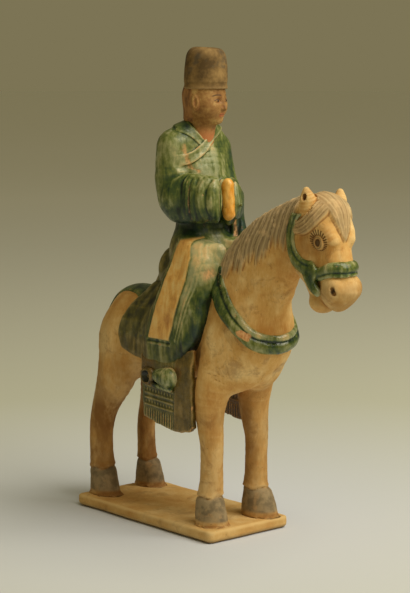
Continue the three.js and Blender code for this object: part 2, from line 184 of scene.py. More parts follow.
def wobble(p, size, seed):
    """A cheap smooth noise of about -1 to 1, with bumps of the given size in millimetres."""
    rng = np.random.RandomState(seed)
    out = 0
    for _ in range(5):
        way = rng.normal(size=3)
        way *= rng.uniform(0.6, 1.5) / np.linalg.norm(way) * 2 * math.pi / size
        out = out + np.sin(p[0] * way[0] + p[1] * way[1] + p[2] * way[2] + rng.uniform(0, 6.28))
    return out / 2.6


# Horse

RUMP = ((-46, 0, 136), (33, 26.5, 35.5))
BARREL = ((2, 0, 139), (66, 29, 31))
CHEST = ((72, 0, 146), (35, 27.5, 36))
BREAST = ((90, 0, 152), (19.5, 22.5, 25.5))
SHOULDER = ((72, 12, 130), (19, 14, 24))
NECK_FLAT = 0.58
NECK = [(70.8, 0, 168.4, 36), (94.6, 0, 200, 29), (118, 0, 221.5, 20.8), (134.6, 0, 231.2, 17.6)]
CREST = [(56, 210), (75, 224), (95, 234.5), (118, 246.5), (142, 252)]
CREST_ALONG = (0.99, -0.15)
MANE_LENGTH = 32.0
MANE_SLANT = 0.84
LEG_SPREAD = 21.8
HOOF_SPREAD = 23.3
HOOF_TOP = 29.0
FRONT_X = 59.0
HIND_X = -69.0
HIND_RADII = {-1: 8.8, 1: 7.0}
FRONT_HOOF = (FRONT_X, HOOF_SPREAD)
HIND_HOOF = (HIND_X + 1.5, HOOF_SPREAD - 0.9)
HOOF_LEAN = 2.5
EYE = (160.0, 221.2)
EYE_SPOKES = 24
EAR_PIT = (150.4, 18.6, 251.6)
SWEEP = ((138, 254), 24.5)
FORELOCK_HEIGHTS = (221, 229, 239, 248, 255)


def trunk(p):
    return joined(ellipsoid(p, *RUMP), (ellipsoid(p, *BARREL), 12), (ellipsoid(p, *CHEST), 12),
                  (ellipsoid(mirrored(p), *SHOULDER), 10), (ellipsoid(p, *BREAST), 8), (neck(p), 10))


def neck(p):
    return limb(p, [(*row, row[3] * NECK_FLAT) for row in NECK])


def front_leg(p, side):
    y = side * LEG_SPREAD
    x = FRONT_X
    return limb(p, [
        (x + 9, 0.55 * y, 142, 17), (x + 3, 0.86 * y, 118, 14.5), (x - 2, 0.98 * y, 93, 11),
        (x + 0.6, y, 68, 8.6), (x + 0.4, y, 44, 8.3), (x - 0.8, 1.02 * y, 31, 9.2), (x, 1.05 * y, 25.5, 9.2),
    ])


def hind_leg(p, side):
    y = side * LEG_SPREAD
    x = HIND_X - (1.2 if side < 0 else 0)
    r = HIND_RADII[side]
    return limb(p, [
        (x + 20, 0.68 * y, 130, 23, 17), (x + 17, 0.92 * y, 103, 16, 13.5), (x + 6, y, 80, r + 2.4, r + 1),
        (x, y, 60, r + 0.2), (x, y, 42, r), (x + 0.5, y, 32, r + 0.6), (x + 1.5, 1.02 * y, 26, r + 0.6),
    ])


def hoof(p, x, y, top_radius, sole_radius):
    """A full cone down to the plinth, longer than wide, leaning forward."""
    x0, y0, z0 = p
    down = np.clip((HOOF_TOP - z0) / (HOOF_TOP - PLINTH_TOP), 0, 1)
    radius = top_radius + (sole_radius - top_radius) * down * (1.7 - 0.7 * down)
    gap = np.sqrt(((x0 - x - HOOF_LEAN * down) / 1.12) ** 2 + ((y0 - y) / 0.9) ** 2) - radius
    return smooth_max(gap * 0.9, np.maximum(z0 - HOOF_TOP - 1, PLINTH_TOP - 4 - z0), 3)


def hooves(p):
    fields = []
    for side, front_sole, hind_top in ((-1, 12.0, 9.8), (1, 13.4, 8.8)):
        fields.append(hoof(p, FRONT_HOOF[0], side * FRONT_HOOF[1], 9.8, front_sole))
        fields.append(hoof(p, HIND_HOOF[0], side * HIND_HOOF[1], hind_top, 11.6))
    return np.minimum.reduce(fields)


def hoof_edge(p):
    """Height of the uneven edge where the leg ends in a ledge over the hoof."""
    return HOOF_TOP + 0.7 * np.sin(p[0] * 0.4 + p[1] * 0.3) + 0.5


def slip_collars(p):
    """The ragged ring of clay that fixes each hoof to the plinth."""
    coarse, fine = 1.2 * wobble(p, 9, 3), 0.5 * wobble(p, 3.5, 5)
    top = p[2] - PLINTH_TOP - 1.1 - 0.5 * wobble(p, 6, 4)
    fields = []
    for (x, y), radius in ((FRONT_HOOF, 13.2), (HIND_HOOF, 12.8)):
        for side in (-1, 1):
            ring = np.sqrt(((p[0] - x - 3.5) / 1.12) ** 2 + ((p[1] - side * y) / 0.85) ** 2) - radius
            fields.append(smooth_max(ring - 0.8 + coarse + fine, top, 1.2))
    return np.minimum.reduce(fields)


def horse_head(p):
    return near(p, (118, -24, 166), (184, 24, 262), _horse_head, 14)


def _horse_head(p):
    q = mirrored(p)
    skull = ellipsoid(p, (147, 0, 229), (20, 17, 22), tip=10)
    front = limb(p, [(155, 0, 235, 13), (158.5, 0, 217, 12.8), (163, 0, 201, 12.4)])
    poll = ellipsoid(p, (150, 0, 238), (16, 17.5, 14.4))
    jaw = ellipsoid(q, (143, 6.5, 212), (15, 9.8, 18))
    under_jaw = limb(p, [(144, 0, 198, 10.5), (150, 0, 186, 9)])
    lip = ellipsoid(p, (150.6, 0, 179.2), (9.2, 9.8, 7.8))
    brow = limb(q, [(157, 11, 234, 4.2), (163, 10, 229, 4.6), (167, 8, 223, 4)])
    nose_wing = ellipsoid(q, (169.8, 9, 189.8), (6.8, 5.6, 7.4))
    cheek_hollow = ellipsoid(q, (161, 18, 211), (9, 4.5, 12))
    eyeball = ellipsoid(q, (159.5, 12.6, 221), (4.6, 3.2, 4.6))
    nostril = limb(q, [(172.4, 13.4, 190.8, 1.2), (173.6, 12.8, 187.8, 1.6)])
    head = joined(skull, (front, 8), (poll, 5), (jaw, 7), (muzzle(p), 5), (under_jaw, 5), (lip, 1.6),
                  (brow, 4), (nose_wing, 2.5))
    head = smooth_min(smooth_max(head, -cheek_hollow, 6), eyeball, 2)
    return smooth_max(head, -nostril, 1.0)


def muzzle(p):
    """A round muzzle, cut away towards the lip below."""
    low = np.maximum(188 - p[2], 0) / 13
    drawn_in = 1.02 + 0.14 * low + 0.5 * low ** 2
    x = np.where(p[0] > 163, 163 + (p[0] - 163) * drawn_in, p[0])
    return ellipsoid((x, p[1] * (0.5 + 0.5 * drawn_in), p[2]), (167.6, 0, 186.6), (13.6, 14, 13.2)) * 0.85


def ears(p):
    def hollow_ear(q):
        return smooth_max(ear_at(q), -ellipsoid(q, EAR_PIT, (1.6, 2.6, 2.3)), 0.8)
    return near(ear_side(p), (136, 4, 236), (162, 26, 264), hollow_ear)


def ear_side(p):
    """Both ears measured as one: the left one stands a little lower."""
    q = mirrored(p)
    return q[0] - 1.5 * (p[1] > 0), q[1], q[2] + 3.0 * (p[1] > 0)


def ear_at(q):
    return limb(q, [(149, 12, 243, 7.4), (149.4, 14.4, 250.5, 5.2), (149, 15.2, 256, 2.6)])


def mane_amount(p):
    """How far the combed mane covers the neck, 0 to 1, with ragged ends."""
    x, y, z = p
    above = np.interp(x, [c[0] for c in CREST], [c[1] for c in CREST])
    hang = (above - z) * MANE_SLANT + 0.35 * np.abs(y)
    along = x * CREST_ALONG[0] + z * CREST_ALONG[1]
    ragged = 2.6 * np.sin(along * 0.36 + 1) + 1.6 * np.sin(along * 0.93) + 0.8 * np.sin(along * 2.1 + 2)
    length = MANE_LENGTH + ragged - 5 * rise(x, 104, 130)
    ends = rise(x, 52, 60) * fall(x, 134, 140)
    return fall(hang, length - 5, length + 3) * ends


def forelock_width(z, tip):
    return np.interp(z, FORELOCK_HEIGHTS, (tip, 5, 9.4, 12.5, 13))


def forelock_amount(p):
    """The parted forelock: a lock that ends in a point between the eyes, and a sweep behind each brow."""
    x, y, z = p
    side = np.abs(y)
    width = forelock_width(z, 0.6)
    lock = fall(side, width - 2.0, width + 0.8) * rise(x, 144, 150) * rise(z, 220, 224)
    ring = np.abs(sweep_ring(p))
    sweep = fall(ring, 4.2, 6.4) * rise(side, 4, 7) * rise(x, 136, 139)
    sweep = sweep * rise(z, 225, 228)
    off_ear = rise(ear_at(ear_side(p)), 0.2, 1.6)
    return np.maximum(lock, sweep) * off_ear


def sweep_ring(p):
    (cx, cz), radius = SWEEP
    return np.sqrt((p[0] - cx) ** 2 + (p[2] - cz) ** 2) - radius


def strands(p):
    """Fine combed grooves: down the neck from its crest, down the forelock and along its swept sides."""
    x, y, z = p
    along = x * CREST_ALONG[0] + z * CREST_ALONG[1]
    along = along + 0.6 * np.sin(0.17 * z + 0.2 * y) + 0.8 * np.sin(0.23 * x + 0.08 * z)
    clump = 0.65 + 0.35 * np.sin(along * 0.61 + 0.05 * z)
    fine = np.sin(along * 3.1) + 0.8 * np.sin(along * 4.7 + 1.3)
    neck_hair = clump * fine + 0.9 * np.sin(along * 1.3 + 0.4)
    width = forelock_width(z, 4)
    across = y / width
    lock_hair = 0.8 * np.sin(across * 17 + 0.05 * z) + 0.7 * np.sin(across * 29 + 1)
    lock_hair = lock_hair + 0.4 * np.sin(across * 7)
    ring = sweep_ring(p)
    sweep_hair = 0.8 * np.sin(ring * 2.7 + 0.4) + 0.7 * np.sin(ring * 4.9) + 0.4 * np.sin(ring * 1.3)
    swept = rise(np.abs(y), width - 2, width)
    front = rise(x, 138, 142)
    fore_hair = 0.6 * lock_hair + (sweep_hair - 0.6 * lock_hair) * swept
    return neck_hair * (1 - front) * 0.4 + fore_hair * front * 0.4


def eye_marks(p):
    """Distance fields of the incised eye: the rim, the lashes and the pupil."""
    q = mirrored(p)
    dx, dz = q[0] - EYE[0], q[2] - EYE[1]
    radius = np.sqrt((dx * 1.1) ** 2 + (dz * 0.95) ** 2)
    angle = np.arctan2(dz, dx)
    on_side = (q[1] > 7) & (q[0] > 146) & (q[0] < 174)
    rim = np.where(on_side, np.abs(radius - 3.7), 99)
    spokes = np.abs(((angle * EYE_SPOKES / (2 * math.pi)) % 1) - 0.5) * radius * 2 * math.pi / EYE_SPOKES
    reach = 7.1 + 1.7 * np.cos(angle - 1.5)
    lash = np.where(on_side & (radius > 4.8) & (radius < reach), spokes, 99)
    pupil = np.where(on_side, radius - 2.0, 99)
    return rim, lash, pupil


def horse(p):
    legs = np.minimum.reduce([front_leg(p, -1), front_leg(p, 1), hind_leg(p, -1), hind_leg(p, 1)])
    legs = smooth_min(legs, hooves(p), 1.2)
    body = joined(trunk(p), (legs, 7), (horse_head(p), 6), (ears(p), 1.6), (slip_collars(p), 1.5),
                  (tail(p), 3))
    hair = np.maximum(mane_amount(p), forelock_amount(p))
    body = body - hair * (1.3 + 0.55 * strands(p))
    body = body - horse_carving(p)
    body = body - 0.25 * wobble(p, 22, 11) - 0.08 * wobble(p, 7, 12)
    return np.maximum(body, PLINTH_TOP - p[2])


def horse_carving(p):
    """Height of small relief on the horse: eyes and the scratches above the front legs."""
    rim, lash, pupil = eye_marks(p)
    relief = 0.35 * bell(rim, 0.6) - 0.3 * bell(lash, 0.3) - 0.5 * bell(np.maximum(pupil, 0), 0.7)
    ledge = p[2] - hoof_edge(p)
    relief = relief - 0.9 * bell(ledge, 0.7) + 0.5 * bell(ledge - 1.8, 1.2)
    for x, z, slope in ((70, 121, 0.25), (73, 117, 0.6), (70, 125, 0.45), (76, 121, 0.5)):
        crease = np.abs((p[2] - z) - slope * (x - p[0]))
        relief = relief - 0.3 * bell(crease, 0.6) * bell(p[0] - x, 5) * (np.abs(p[1]) > 8)
    return relief


def tail(p):
    return limb(p, [(-68, 0, 150, 6), (-77, 0, 138, 5.4), (-78, 0, 116, 5.2), (-74, 0, 97, 3.4)])


# Robe, saddle and cloths

SKIRT = [(57, 212), (61, 198), (60.5, 186), (57, 170), (56, 157), (51.5, 144), (43, 133.5), (33, 125),
         (20, 120.5), (-4, 121), (-24, 123.5), (-36, 128.5), (-39.5, 141), (-33, 160), (-20, 180), (-6, 197),
         (16, 212)]
SKIRT_LINE = smooth_outline(SKIRT)
PANEL_HEIGHTS = (142, 165, 185, 202, 212, 220)
PANEL_MIDDLES = (15.2, 23.6, 30.2, 34.0, 33.5, 32)
PANEL_HALVES = (12.0, 11.9, 11.4, 10.0, 6.5, 4.5)
FLAP = [(12, 77.5), (27, 74.5), (39, 74.5), (50, 76.5), (52.5, 80), (50.5, 136)]
FLAP_BACK = {-1: [(-8, 127), (-3.5, 81)], 1: [(-26, 127), (-21.5, 81)]}
HIP = (10, 222)
SKIRT_INNER = 8
STIRRUP_RING = (1.8, 111.4)


def panel_place(x, z):
    """Place across the rider's leg panel: -1 and 1 at its edges, and millimetres beyond its front edge."""
    middle = np.interp(z, PANEL_HEIGHTS, PANEL_MIDDLES)
    half = np.interp(z, PANEL_HEIGHTS, PANEL_HALVES)
    return (x - middle) / half, x - middle - half


def skirt_half_width(x, z):
    """Wide over the rider's leg, and close on the horse's back behind it."""
    leg = np.interp(z, (118, 142, 165, 185, 201, 212, 224), (33, 34.5, 34.5, 31.5, 27, 23, 18))
    back = np.interp(z, (118, 140, 150, 160, 168, 178), (30.5, 31, 30, 25.5, 18, 10))
    across, beyond = panel_place(x, z)
    behind = fall(across, -2.6, -1.1)
    nose = (4 + 8 * rise(z, 168, 192)) * rise(x, 40, 64)
    return leg + (back - leg) * behind - nose + skirt_relief(x, z, across, beyond)


def skirt_relief(x, z, across, beyond):
    """The raised side panel, its double border, the front folds, the back folds and the hem."""
    above_hem = rise(z, 139.5, 141.5)
    below_hip = fall(z - 0.2 * (x - 30), 212, 217)
    panel = fall(np.abs(across), 0.90, 1.04) * above_hem * below_hip
    border = (bell(beyond - 6.3, 0.8) + bell(beyond - 9.6, 0.8)) * above_hem * below_hip
    front = rise(beyond, 10, 15)
    behind = fall(across, -1.5, -1.1)
    angle = np.arctan2(x - HIP[0], HIP[1] - z) + 0.02 * np.sin(z * 0.11)
    front_fold = np.sin(angle * 34 + 1.2) + 0.5 * np.sin(angle * 61 + 0.02 * z)
    back_fold = np.sin(angle * 44 + 0.5) + 0.6 * np.sin(angle * 25)
    low = rise(z, 119, 134)
    upper = fall(z, 192, 212)
    hem = (bell(z - 138.6, 0.7) - 0.6 * bell(z - 136.6, 0.7)) * fall(np.abs(across), 1.0, 1.12)
    hem_fold = 0.3 * np.sin(x * 0.9 + 0.6 * np.sin(x * 0.33)) * (1 - above_hem) * rise(z, 124, 130)
    folds = 0.5 * front * front_fold * upper + 0.45 * behind * back_fold
    return 0.9 * panel + 0.5 * border + folds * low - 0.5 * hem + hem_fold


def skirts(p):
    q = mirrored(p)
    outline = polygon(q[0], q[2], SKIRT_LINE)
    side = q[1] - skirt_half_width(q[0], q[2])
    return smooth_max(smooth_max(outline * 0.95, side * 0.85, 4), SKIRT_INNER - q[1], 3)


def thighs(p):
    """The lap: each thigh runs forward from the hip to the knee."""
    right, left = (limb(p, [(22, side * 11, 206, 14), (41, side * 16, 199, 12), (49, side * 19.5, 187, 9)])
                   for side in (-1, 1))
    return smooth_min(right, left, 5)


def seat(p):
    cushion = ellipsoid(p, (20, 0, 181), (36, 22, 20))
    cantle = ellipsoid(p, (-7, 0, 190), (7.5, 15, 15.5), tip=8)
    return smooth_min(cushion, cantle, 3)


def flaps(p):
    q = mirrored(p)
    outline = np.where(p[1] < 0, *(polygon(q[0], q[2], FLAP_BACK[side] + FLAP) for side in (-1, 1)))
    ragged = outline + 0.35 * wobble(p, 7, 21)
    middle = 31.6 + 0.02 * (118 - q[2]) - 1.2 * rise(q[2], 124, 134)
    gap = np.abs(q[1] - middle) - 1.9 + 0.9 * rise(q[2], 122, 130)
    return smooth_max(ragged, gap - flap_relief(q), 1.4)


def flap_relief(q):
    """Raised cross bands with a combed fringe below, and a plain front border."""
    x, z = q[0], q[2] + 0.06 * (q[0] - 10)
    inside = rise(x, -3, -1) * fall(x, 30, 32.5)
    bands = sum(bell(z - level, 0.75) for level in (104, 98.5, 95, 90))
    fringe = np.sin(x * 2.3) * rise(z, 75, 77) * fall(z, 86, 88)
    dots = np.sin(x * 1.9) * bell(z - 101.3, 1.2) + np.sin(x * 1.9 + 1.5) * bell(z - 92.5, 1.0)
    border = rise(x, 31, 33) * 0.5
    return inside * (0.5 * bands + 0.3 * fringe + 0.3 * dots) + border


def boots(p):
    """Each boot's round toe in its stirrup, with the open stirrup ring behind it."""
    fields = []
    for side in (-1, 1):
        y = side * 35.4
        boot = limb(p, [(15, y, 113.6, 4.8, 4.2), (20.5, y, 113.4, 6.4, 5.8), (27.4, y, 113.2, 8, 6.8)])
        tread = limb(p, [(9, y, 106.4, 1.8), (29, y, 104.6, 1.8)])
        ring = limb(p, [(0.9, side * 33.8, 111.4, 6.9, 4.2), (3.2, side * 33.8, 111.4, 6.9, 4.2)])
        hole = ellipsoid(p, (STIRRUP_RING[0], side * 38.6, STIRRUP_RING[1]), (5.2, 5.2, 4.9))
        fields.append(smooth_min(smooth_min(boot, tread, 1.2), smooth_max(ring, -hole, 0.8), 1.2))
    return np.minimum(*fields)


# Rider

TORSO = [(19, 0, 200, 22, 22), (19.5, 0, 216, 17.5, 19.5), (19, 0, 236, 16, 19.5), (17.5, 0, 258, 16.5, 21.5),
         (16.5, 0, 275, 14, 24), (17.5, 0, 286, 10.5, 18), (20, 0, 292, 8.5, 10)]
NECK_MIDDLE = 17
NECK_RADIUS = 15
CROOK = (36, 268)
CROOK_LINE = [(26, 281), (26.2, 278), (27.6, 269.5), (28, 265.5), (32, 263)]
CROOK_SIDE = ((262.9, 265.1, 269.5, 278.1, 283.9), (-9.6, -14.8, -16.8, -19.0, -19.3))
COLLAR_RIGHT = [(-48, 299.5), (-24, 298), (-14, 291), (-6, 283), (-3, 280.5)]
COLLAR_LEFT = [(48, 299.5), (24, 298), (12, 294), (3, 287.5), (-5, 280.5), (-17, 270.5)]
NECKLINE = ((-48, -24, -14, -5, 3, 12, 24, 48), (301, 300, 293, 284, 290, 296.5, 300, 301))
YOKE = [(13.5, -18, 282, 11.5), (14.5, -8, 288, 10.5), (15.5, 6, 288, 10.5), (14, 19, 278.5, 10.5)]


def round_neck(q):
    """Millimetres round the rider's neck from its front, the left side positive."""
    return np.arctan2(q[1], q[0] - NECK_MIDDLE) * NECK_RADIUS


def torso(p):
    q = moved(p, RIDER_Y)
    body = smooth_min(limb(q, TORSO), limb(q, YOKE), 5)
    return smooth_max(body, q[2] - np.interp(round_neck(q), *NECKLINE), 0.8)


def right_arm(p):
    upper = limb(p, [(13.5, -19, 280, 12.2), (12.5, -20.4, 260, 11.4), (17.5, -21, 245, 11.8)])
    sleeve = limb(p, [(22, -20.3, 243, 18, 10), (34, -19, 243.8, 18, 9), (50, -12.5, 243, 17, 7)])
    end = (p[0] - 56) * 0.93 + (p[1] + 10) * 0.36 + 0.03 * (p[2] - 243)
    sleeve = smooth_max(sleeve, end, 4)
    slot = ellipsoid(p, (57.5, -8.8, 242), (4.5, 2.2, 13.5), turn=22)
    arm = smooth_min(upper, sleeve, 6) - sleeve_folds(p)
    return smooth_max(arm, -slot, 1.5)


def sleeve_folds(p):
    """Creases fanning out from the crook of the elbow, and hanging folds along the cuff."""
    x, y, z = p
    dx, dz = x - CROOK[0], CROOK[1] - z
    angle = np.arctan2(dx, dz) + 0.12 * np.sin(z * 0.2)
    reach = np.sqrt(dx * dx + dz * dz)
    back = fall(x, 33, 38) * rise(reach, 5, 12) * fall(reach, 28, 42)
    fan = (np.sin(angle * 10 + 0.6) + 0.35 * np.sin(angle * 19 + 0.1 * reach)) * back
    fan = fan * rise(z, 222, 232) * fall(z, 260, 266)
    sway = 0.6 * np.sin(z * 0.16)
    seam = 0.45 * bell(x - 37.8 - sway, 0.9) - 0.7 * bell(x - 40.0 - sway, 0.8)
    seam = seam - 0.5 * bell(x - 44.4 - sway, 1.1)
    seam = seam + 0.5 * bell(x - 48.9 + sway, 1.2) - 0.8 * bell(x - 52.6 + sway, 1.1)
    drop = rise(z, 226, 233) * fall(z, 255, 262)
    return 0.55 * fan + 0.75 * seam * drop


def left_arm(p):
    upper = limb(p, [(14, 22.5, 277, 10.5), (15.5, 25.5, 258, 10.6), (20, 26, 243, 10.6)])
    sleeve = limb(p, [(23, 23, 239, 18, 9), (32, 15.5, 240, 17.5, 7.5), (43, 6.5, 241, 15.5, 5.5)])
    hanging = limb(p, [(25, 24, 236, 10, 8.5), (32, 24.5, 215, 11, 8.3)])
    folds = 0.5 * np.sin(p[0] * 0.8 + p[1] * 0.5) + 0.3 * np.sin(p[0] * 0.5 - p[2] * 0.12)
    return smooth_min(upper, smooth_min(sleeve, hanging, 5) - 0.8 * folds, 6)


def collar(p, body):
    """The crossed collar, flat bands with raised edges round the neck and down the chest: left over right."""
    q = moved(p, RIDER_Y)
    around = round_neck(q)
    bands = []
    for path, lift in ((COLLAR_RIGHT, 0.7), (COLLAR_LEFT, 1.3)):
        across = polyline(around, q[2], path)
        relief = 0.2 * bell(across - 2.6, 0.7) - 0.25 * bell(across, 1.4)
        bands.append(smooth_max(across - 3.5, body - lift - relief, 0.5))
    return smooth_min(*bands, 0.3)


def robe(p):
    body = torso(p)
    lower = joined(skirts(p), (thighs(p), 6), (seat(p), 2))
    whole = joined(body, (lower, 7), (collar(p, body), 0.6), (right_arm(p), 2.5), (left_arm(p), 2.5))
    return whole - 0.15 * wobble(p, 15, 31) - 0.05 * wobble(p, 5, 32)


def instrument(p):
    shape = [(51.8, 0, 253.6, 4.7, 4.2), (52.2, 0, 243, 5.1, 4.6), (53, 0, 232.6, 4.8, 4.2)]
    return near(p, (44, -8, 222), (62, 8, 264), lambda q: limb(q, shape) - 0.15 * wobble(q, 6, 41))


# Rider's head and hat

HEAD = (25.8, RIDER_Y, 311.3)
HEAD_TURN = 18.0
HEAD_SCALE = 1.04
HAT_BOTTOM = 321.6
HAT_TOP = 351.6
HAT_RADIUS = 15.7
FACE = {"eye": 2.0, "nose": -4.4, "mouth": -7.8, "chin": -13.8, "brow": 4.9}


def head_frame(p):
    """Points in the head's own frame, its centre at the origin and the face towards +X."""
    c, s = math.cos(math.radians(HEAD_TURN)), math.sin(math.radians(HEAD_TURN))
    x, y, z = ((p[i] - HEAD[i]) / HEAD_SCALE for i in range(3))
    return c * x + s * y, c * y - s * x, z


def rider_head(p):
    h = head_frame(p)
    m = mirrored(h)
    eye, nose, mouth, chin = FACE["eye"], FACE["nose"], FACE["mouth"], FACE["chin"]
    head = joined(ellipsoid(h, (-1.2, 0, 6), (14.8, 14.2, 19)),
                  (ellipsoid(h, (2.8, 0, -3.5), (10.6, 11, 11.8)), 6),
                  (ellipsoid(m, (6.3, 6.2, -2.4), (5.2, 5.0, 5.4)), 4),
                  (ellipsoid(h, (9.3, 0, chin + 2.3), (3.4, 3.6, 2.8)), 3))
    head = smooth_max(head, -ellipsoid(m, (15.3, 5.6, eye), (3.0, 3.6, 2.1)), 1.6)
    head = joined(head, (ellipsoid(m, (11.2, 5.5, eye - 0.1), (2.0, 2.9, 1.35)), 0.7),
                  (limb(h, [(12.6, 0, 4.0, 1.2), (14.1, 0, -0.6, 1.35), (15.2, 0, -3.3, 1.7)]), 1.6),
                  (ellipsoid(m, (13.5, 1.9, nose + 0.9), (1.6, 1.3, 1.2)), 0.9),
                  (ellipsoid(h, (12.1, 0, mouth + 0.8), (1.5, 3.3, 0.8)), 0.8),
                  (ellipsoid(h, (11.8, 0, mouth - 1.0), (1.5, 2.7, 1.0)), 0.8))
    ear = ellipsoid(m, (-0.6, 13.9, 0.6), (3.0, 2.2, 5.8), turn=-8)
    ear = smooth_max(ear, -ellipsoid(m, (0.5, 16.0, 1), (1.5, 1.3, 3.4)), 0.8)
    nape = limb(h, [(-10, 0, 6, 6.0, 9.5), (-10.3, 0, -10, 5.5, 9)])
    head = joined(head, (ear, 0.8), (nape, 3)) * HEAD_SCALE
    throat = limb(p, [(20, RIDER_Y, 281, 9.5), (23.5, RIDER_Y, 299, 8.8)])
    return smooth_min(head, throat, 3) - 0.12 * hair_amount(h) * (3 + np.sin(h[1] * 2.6 + h[2] * 0.5))


def hair_amount(h):
    edge = -2.5 - 0.25 * np.maximum(-h[2], 0)
    return fall(h[0], edge - 1.2, edge) * rise(h[2], -15, -12)


def hat(p):
    x, y, z = p
    up = (z - HAT_BOTTOM) / (HAT_TOP - HAT_BOTTOM)
    radius = HAT_RADIUS + 0.3 - 2.1 * up * up - 0.4 * bell(up - 0.12, 0.05) + 0.3 * wobble(p, 20, 51)
    wall = np.sqrt((x - HEAD[0] + 0.3) ** 2 + (y - HEAD[1]) ** 2) - radius
    crown = z - HAT_TOP - 0.3 * wobble(p, 20, 53)
    return smooth_max(smooth_max(wall, crown, 8), HAT_BOTTOM - z, 1.2) - 0.05 * wobble(p, 5, 52)


# Harness

BREAST_STRAP = ((134, 224.5), 83.7)
CHEEK_STRAP = ((155.5, 224.5), 21.2)


def bare_body(p):
    return smooth_min(trunk(p), horse_head(p), 6)


def rolled(body, across, radius, flatness):
    """A strap of half-round section lying on the body, flatness times wider than it is high."""
    return (np.sqrt((np.maximum(body, -2) * flatness) ** 2 + across ** 2) - radius) / flatness


def harness(p):
    x, y, z = p
    body = bare_body(p)
    q = mirrored(p)
    (cx, cz), r = BREAST_STRAP
    lift = 0.12 * np.maximum(y + 4, 0) * rise(x, 78, 98)
    ring = np.sqrt((x - cx) ** 2 + (z - lift - cz) ** 2) - r
    reach = np.maximum(np.maximum(z - 197, x - 124), 52 - x)
    ring = ring + 3.2 * fall(x, 91, 105) * rise(x, 54, 82)
    sag = bell(x - 104, 13)
    breast = rolled(body, ring - 1.4 - 0.7 * sag, 4.3 + 0.6 * sag, 1.35)
    breast = smooth_max(smooth_min(breast, rolled(body, ring + 4.6, 2.5, 1.2), 0.8), reach, 1)
    (cx, cz), r = CHEEK_STRAP
    arc = np.sqrt((x - cx) ** 2 + (z - cz) ** 2) - r
    ends = np.maximum(x - 153, np.maximum(z - 240, 197.5 - z))
    cheek = smooth_min(rolled(body, arc - 2.7, 4.5, 1.6), rolled(body, arc + 2.4, 1.9, 1.2), 0.7)
    cheek = smooth_max(cheek, ends, 1)
    middle = 200.3 + 3.4 * rise(x, 156, 172)
    wide = rise(x, 154, 168)
    upper = rolled(body, z - middle - 0.2 - wide, 2.9 + wide, 1.35)
    lower = rolled(body, z - middle + 3.6, 2.0, 1.3)
    nose = smooth_max(smooth_min(upper, lower, 0.7), 146 - x, 1)
    tab = limb(q, [(150.5, 12.6, 197, 4.6), (153.5, 12.6, 191, 3.8), (157.5, 12.4, 187, 2.8)])
    knot = ellipsoid(q, (151.5, 12.6, 200.5), (7.5, 2.8, 7.5), turn=25)
    straps = joined(np.minimum(breast, cheek), (nose, 1.5), (smooth_min(tab, knot, 2.5), 2))
    return straps - 0.15 * wobble(p, 9, 61)


def crupper(p):
    """The glazed strip over the ridge of the rump, from the saddle to the tail."""
    body = bare_body(p)
    half = 10 + 4 * rise(p[0], -52, -26) + 1.0 * wobble(p, 14, 62)
    strip = smooth_max(body - 1.3, np.abs(p[1] + 1.5) - half, 1.5)
    return smooth_max(strip, np.maximum(p[0] + 8, np.maximum(-82 - p[0], 138 - p[2])), 2)


# From field to mesh


def grid_values(field, low, high, cell, coarse=4):
    """Field values on a dense grid, worked out only near the surface."""
    low, high = np.array(low, float), np.array(high, float)
    wide = cell * coarse
    count = np.ceil((high - low) / wide).astype(int) + 1
    axes = [np.arange(count[i]) * wide + low[i] for i in range(3)]
    points = np.stack(np.meshgrid(*axes, indexing="ij"), -1).reshape(-1, 3).astype(np.float32)
    rough = evaluate(field, points).reshape(count)
    close = np.abs(rough) < wide * 1.7
    cell_close = np.zeros(count - 1, bool)
    for corner in np.ndindex(2, 2, 2):
        part = tuple(slice(c, count[i] - 1 + c) for i, c in enumerate(corner))
        cell_close |= close[part]
    dense = (count - 1) * coarse + 1

    def spread(values):
        for axis in range(3):
            values = np.repeat(values, coarse, axis)
        values = np.pad(values, ((0, 1),) * 3, mode="edge")
        return values[:dense[0], :dense[1], :dense[2]]

    values = spread(rough[:-1, :-1, :-1]).astype(np.float32)
    wanted = spread(cell_close)
    for axis in range(3):
        ahead = np.roll(wanted, 1, axis)
        ahead[(slice(None),) * axis + (0,)] = False
        wanted = wanted | ahead
    index = np.argwhere(wanted)
    values[wanted] = evaluate(field, (index * cell + low).astype(np.float32))
    return values, low


def evaluate(field, points):
    out = np.empty(len(points), np.float32)
    for start in range(0, len(points), BLOCK):
        part = points[start:start + BLOCK]
        out[start:start + BLOCK] = field((part[:, 0], part[:, 1], part[:, 2]))
    return out


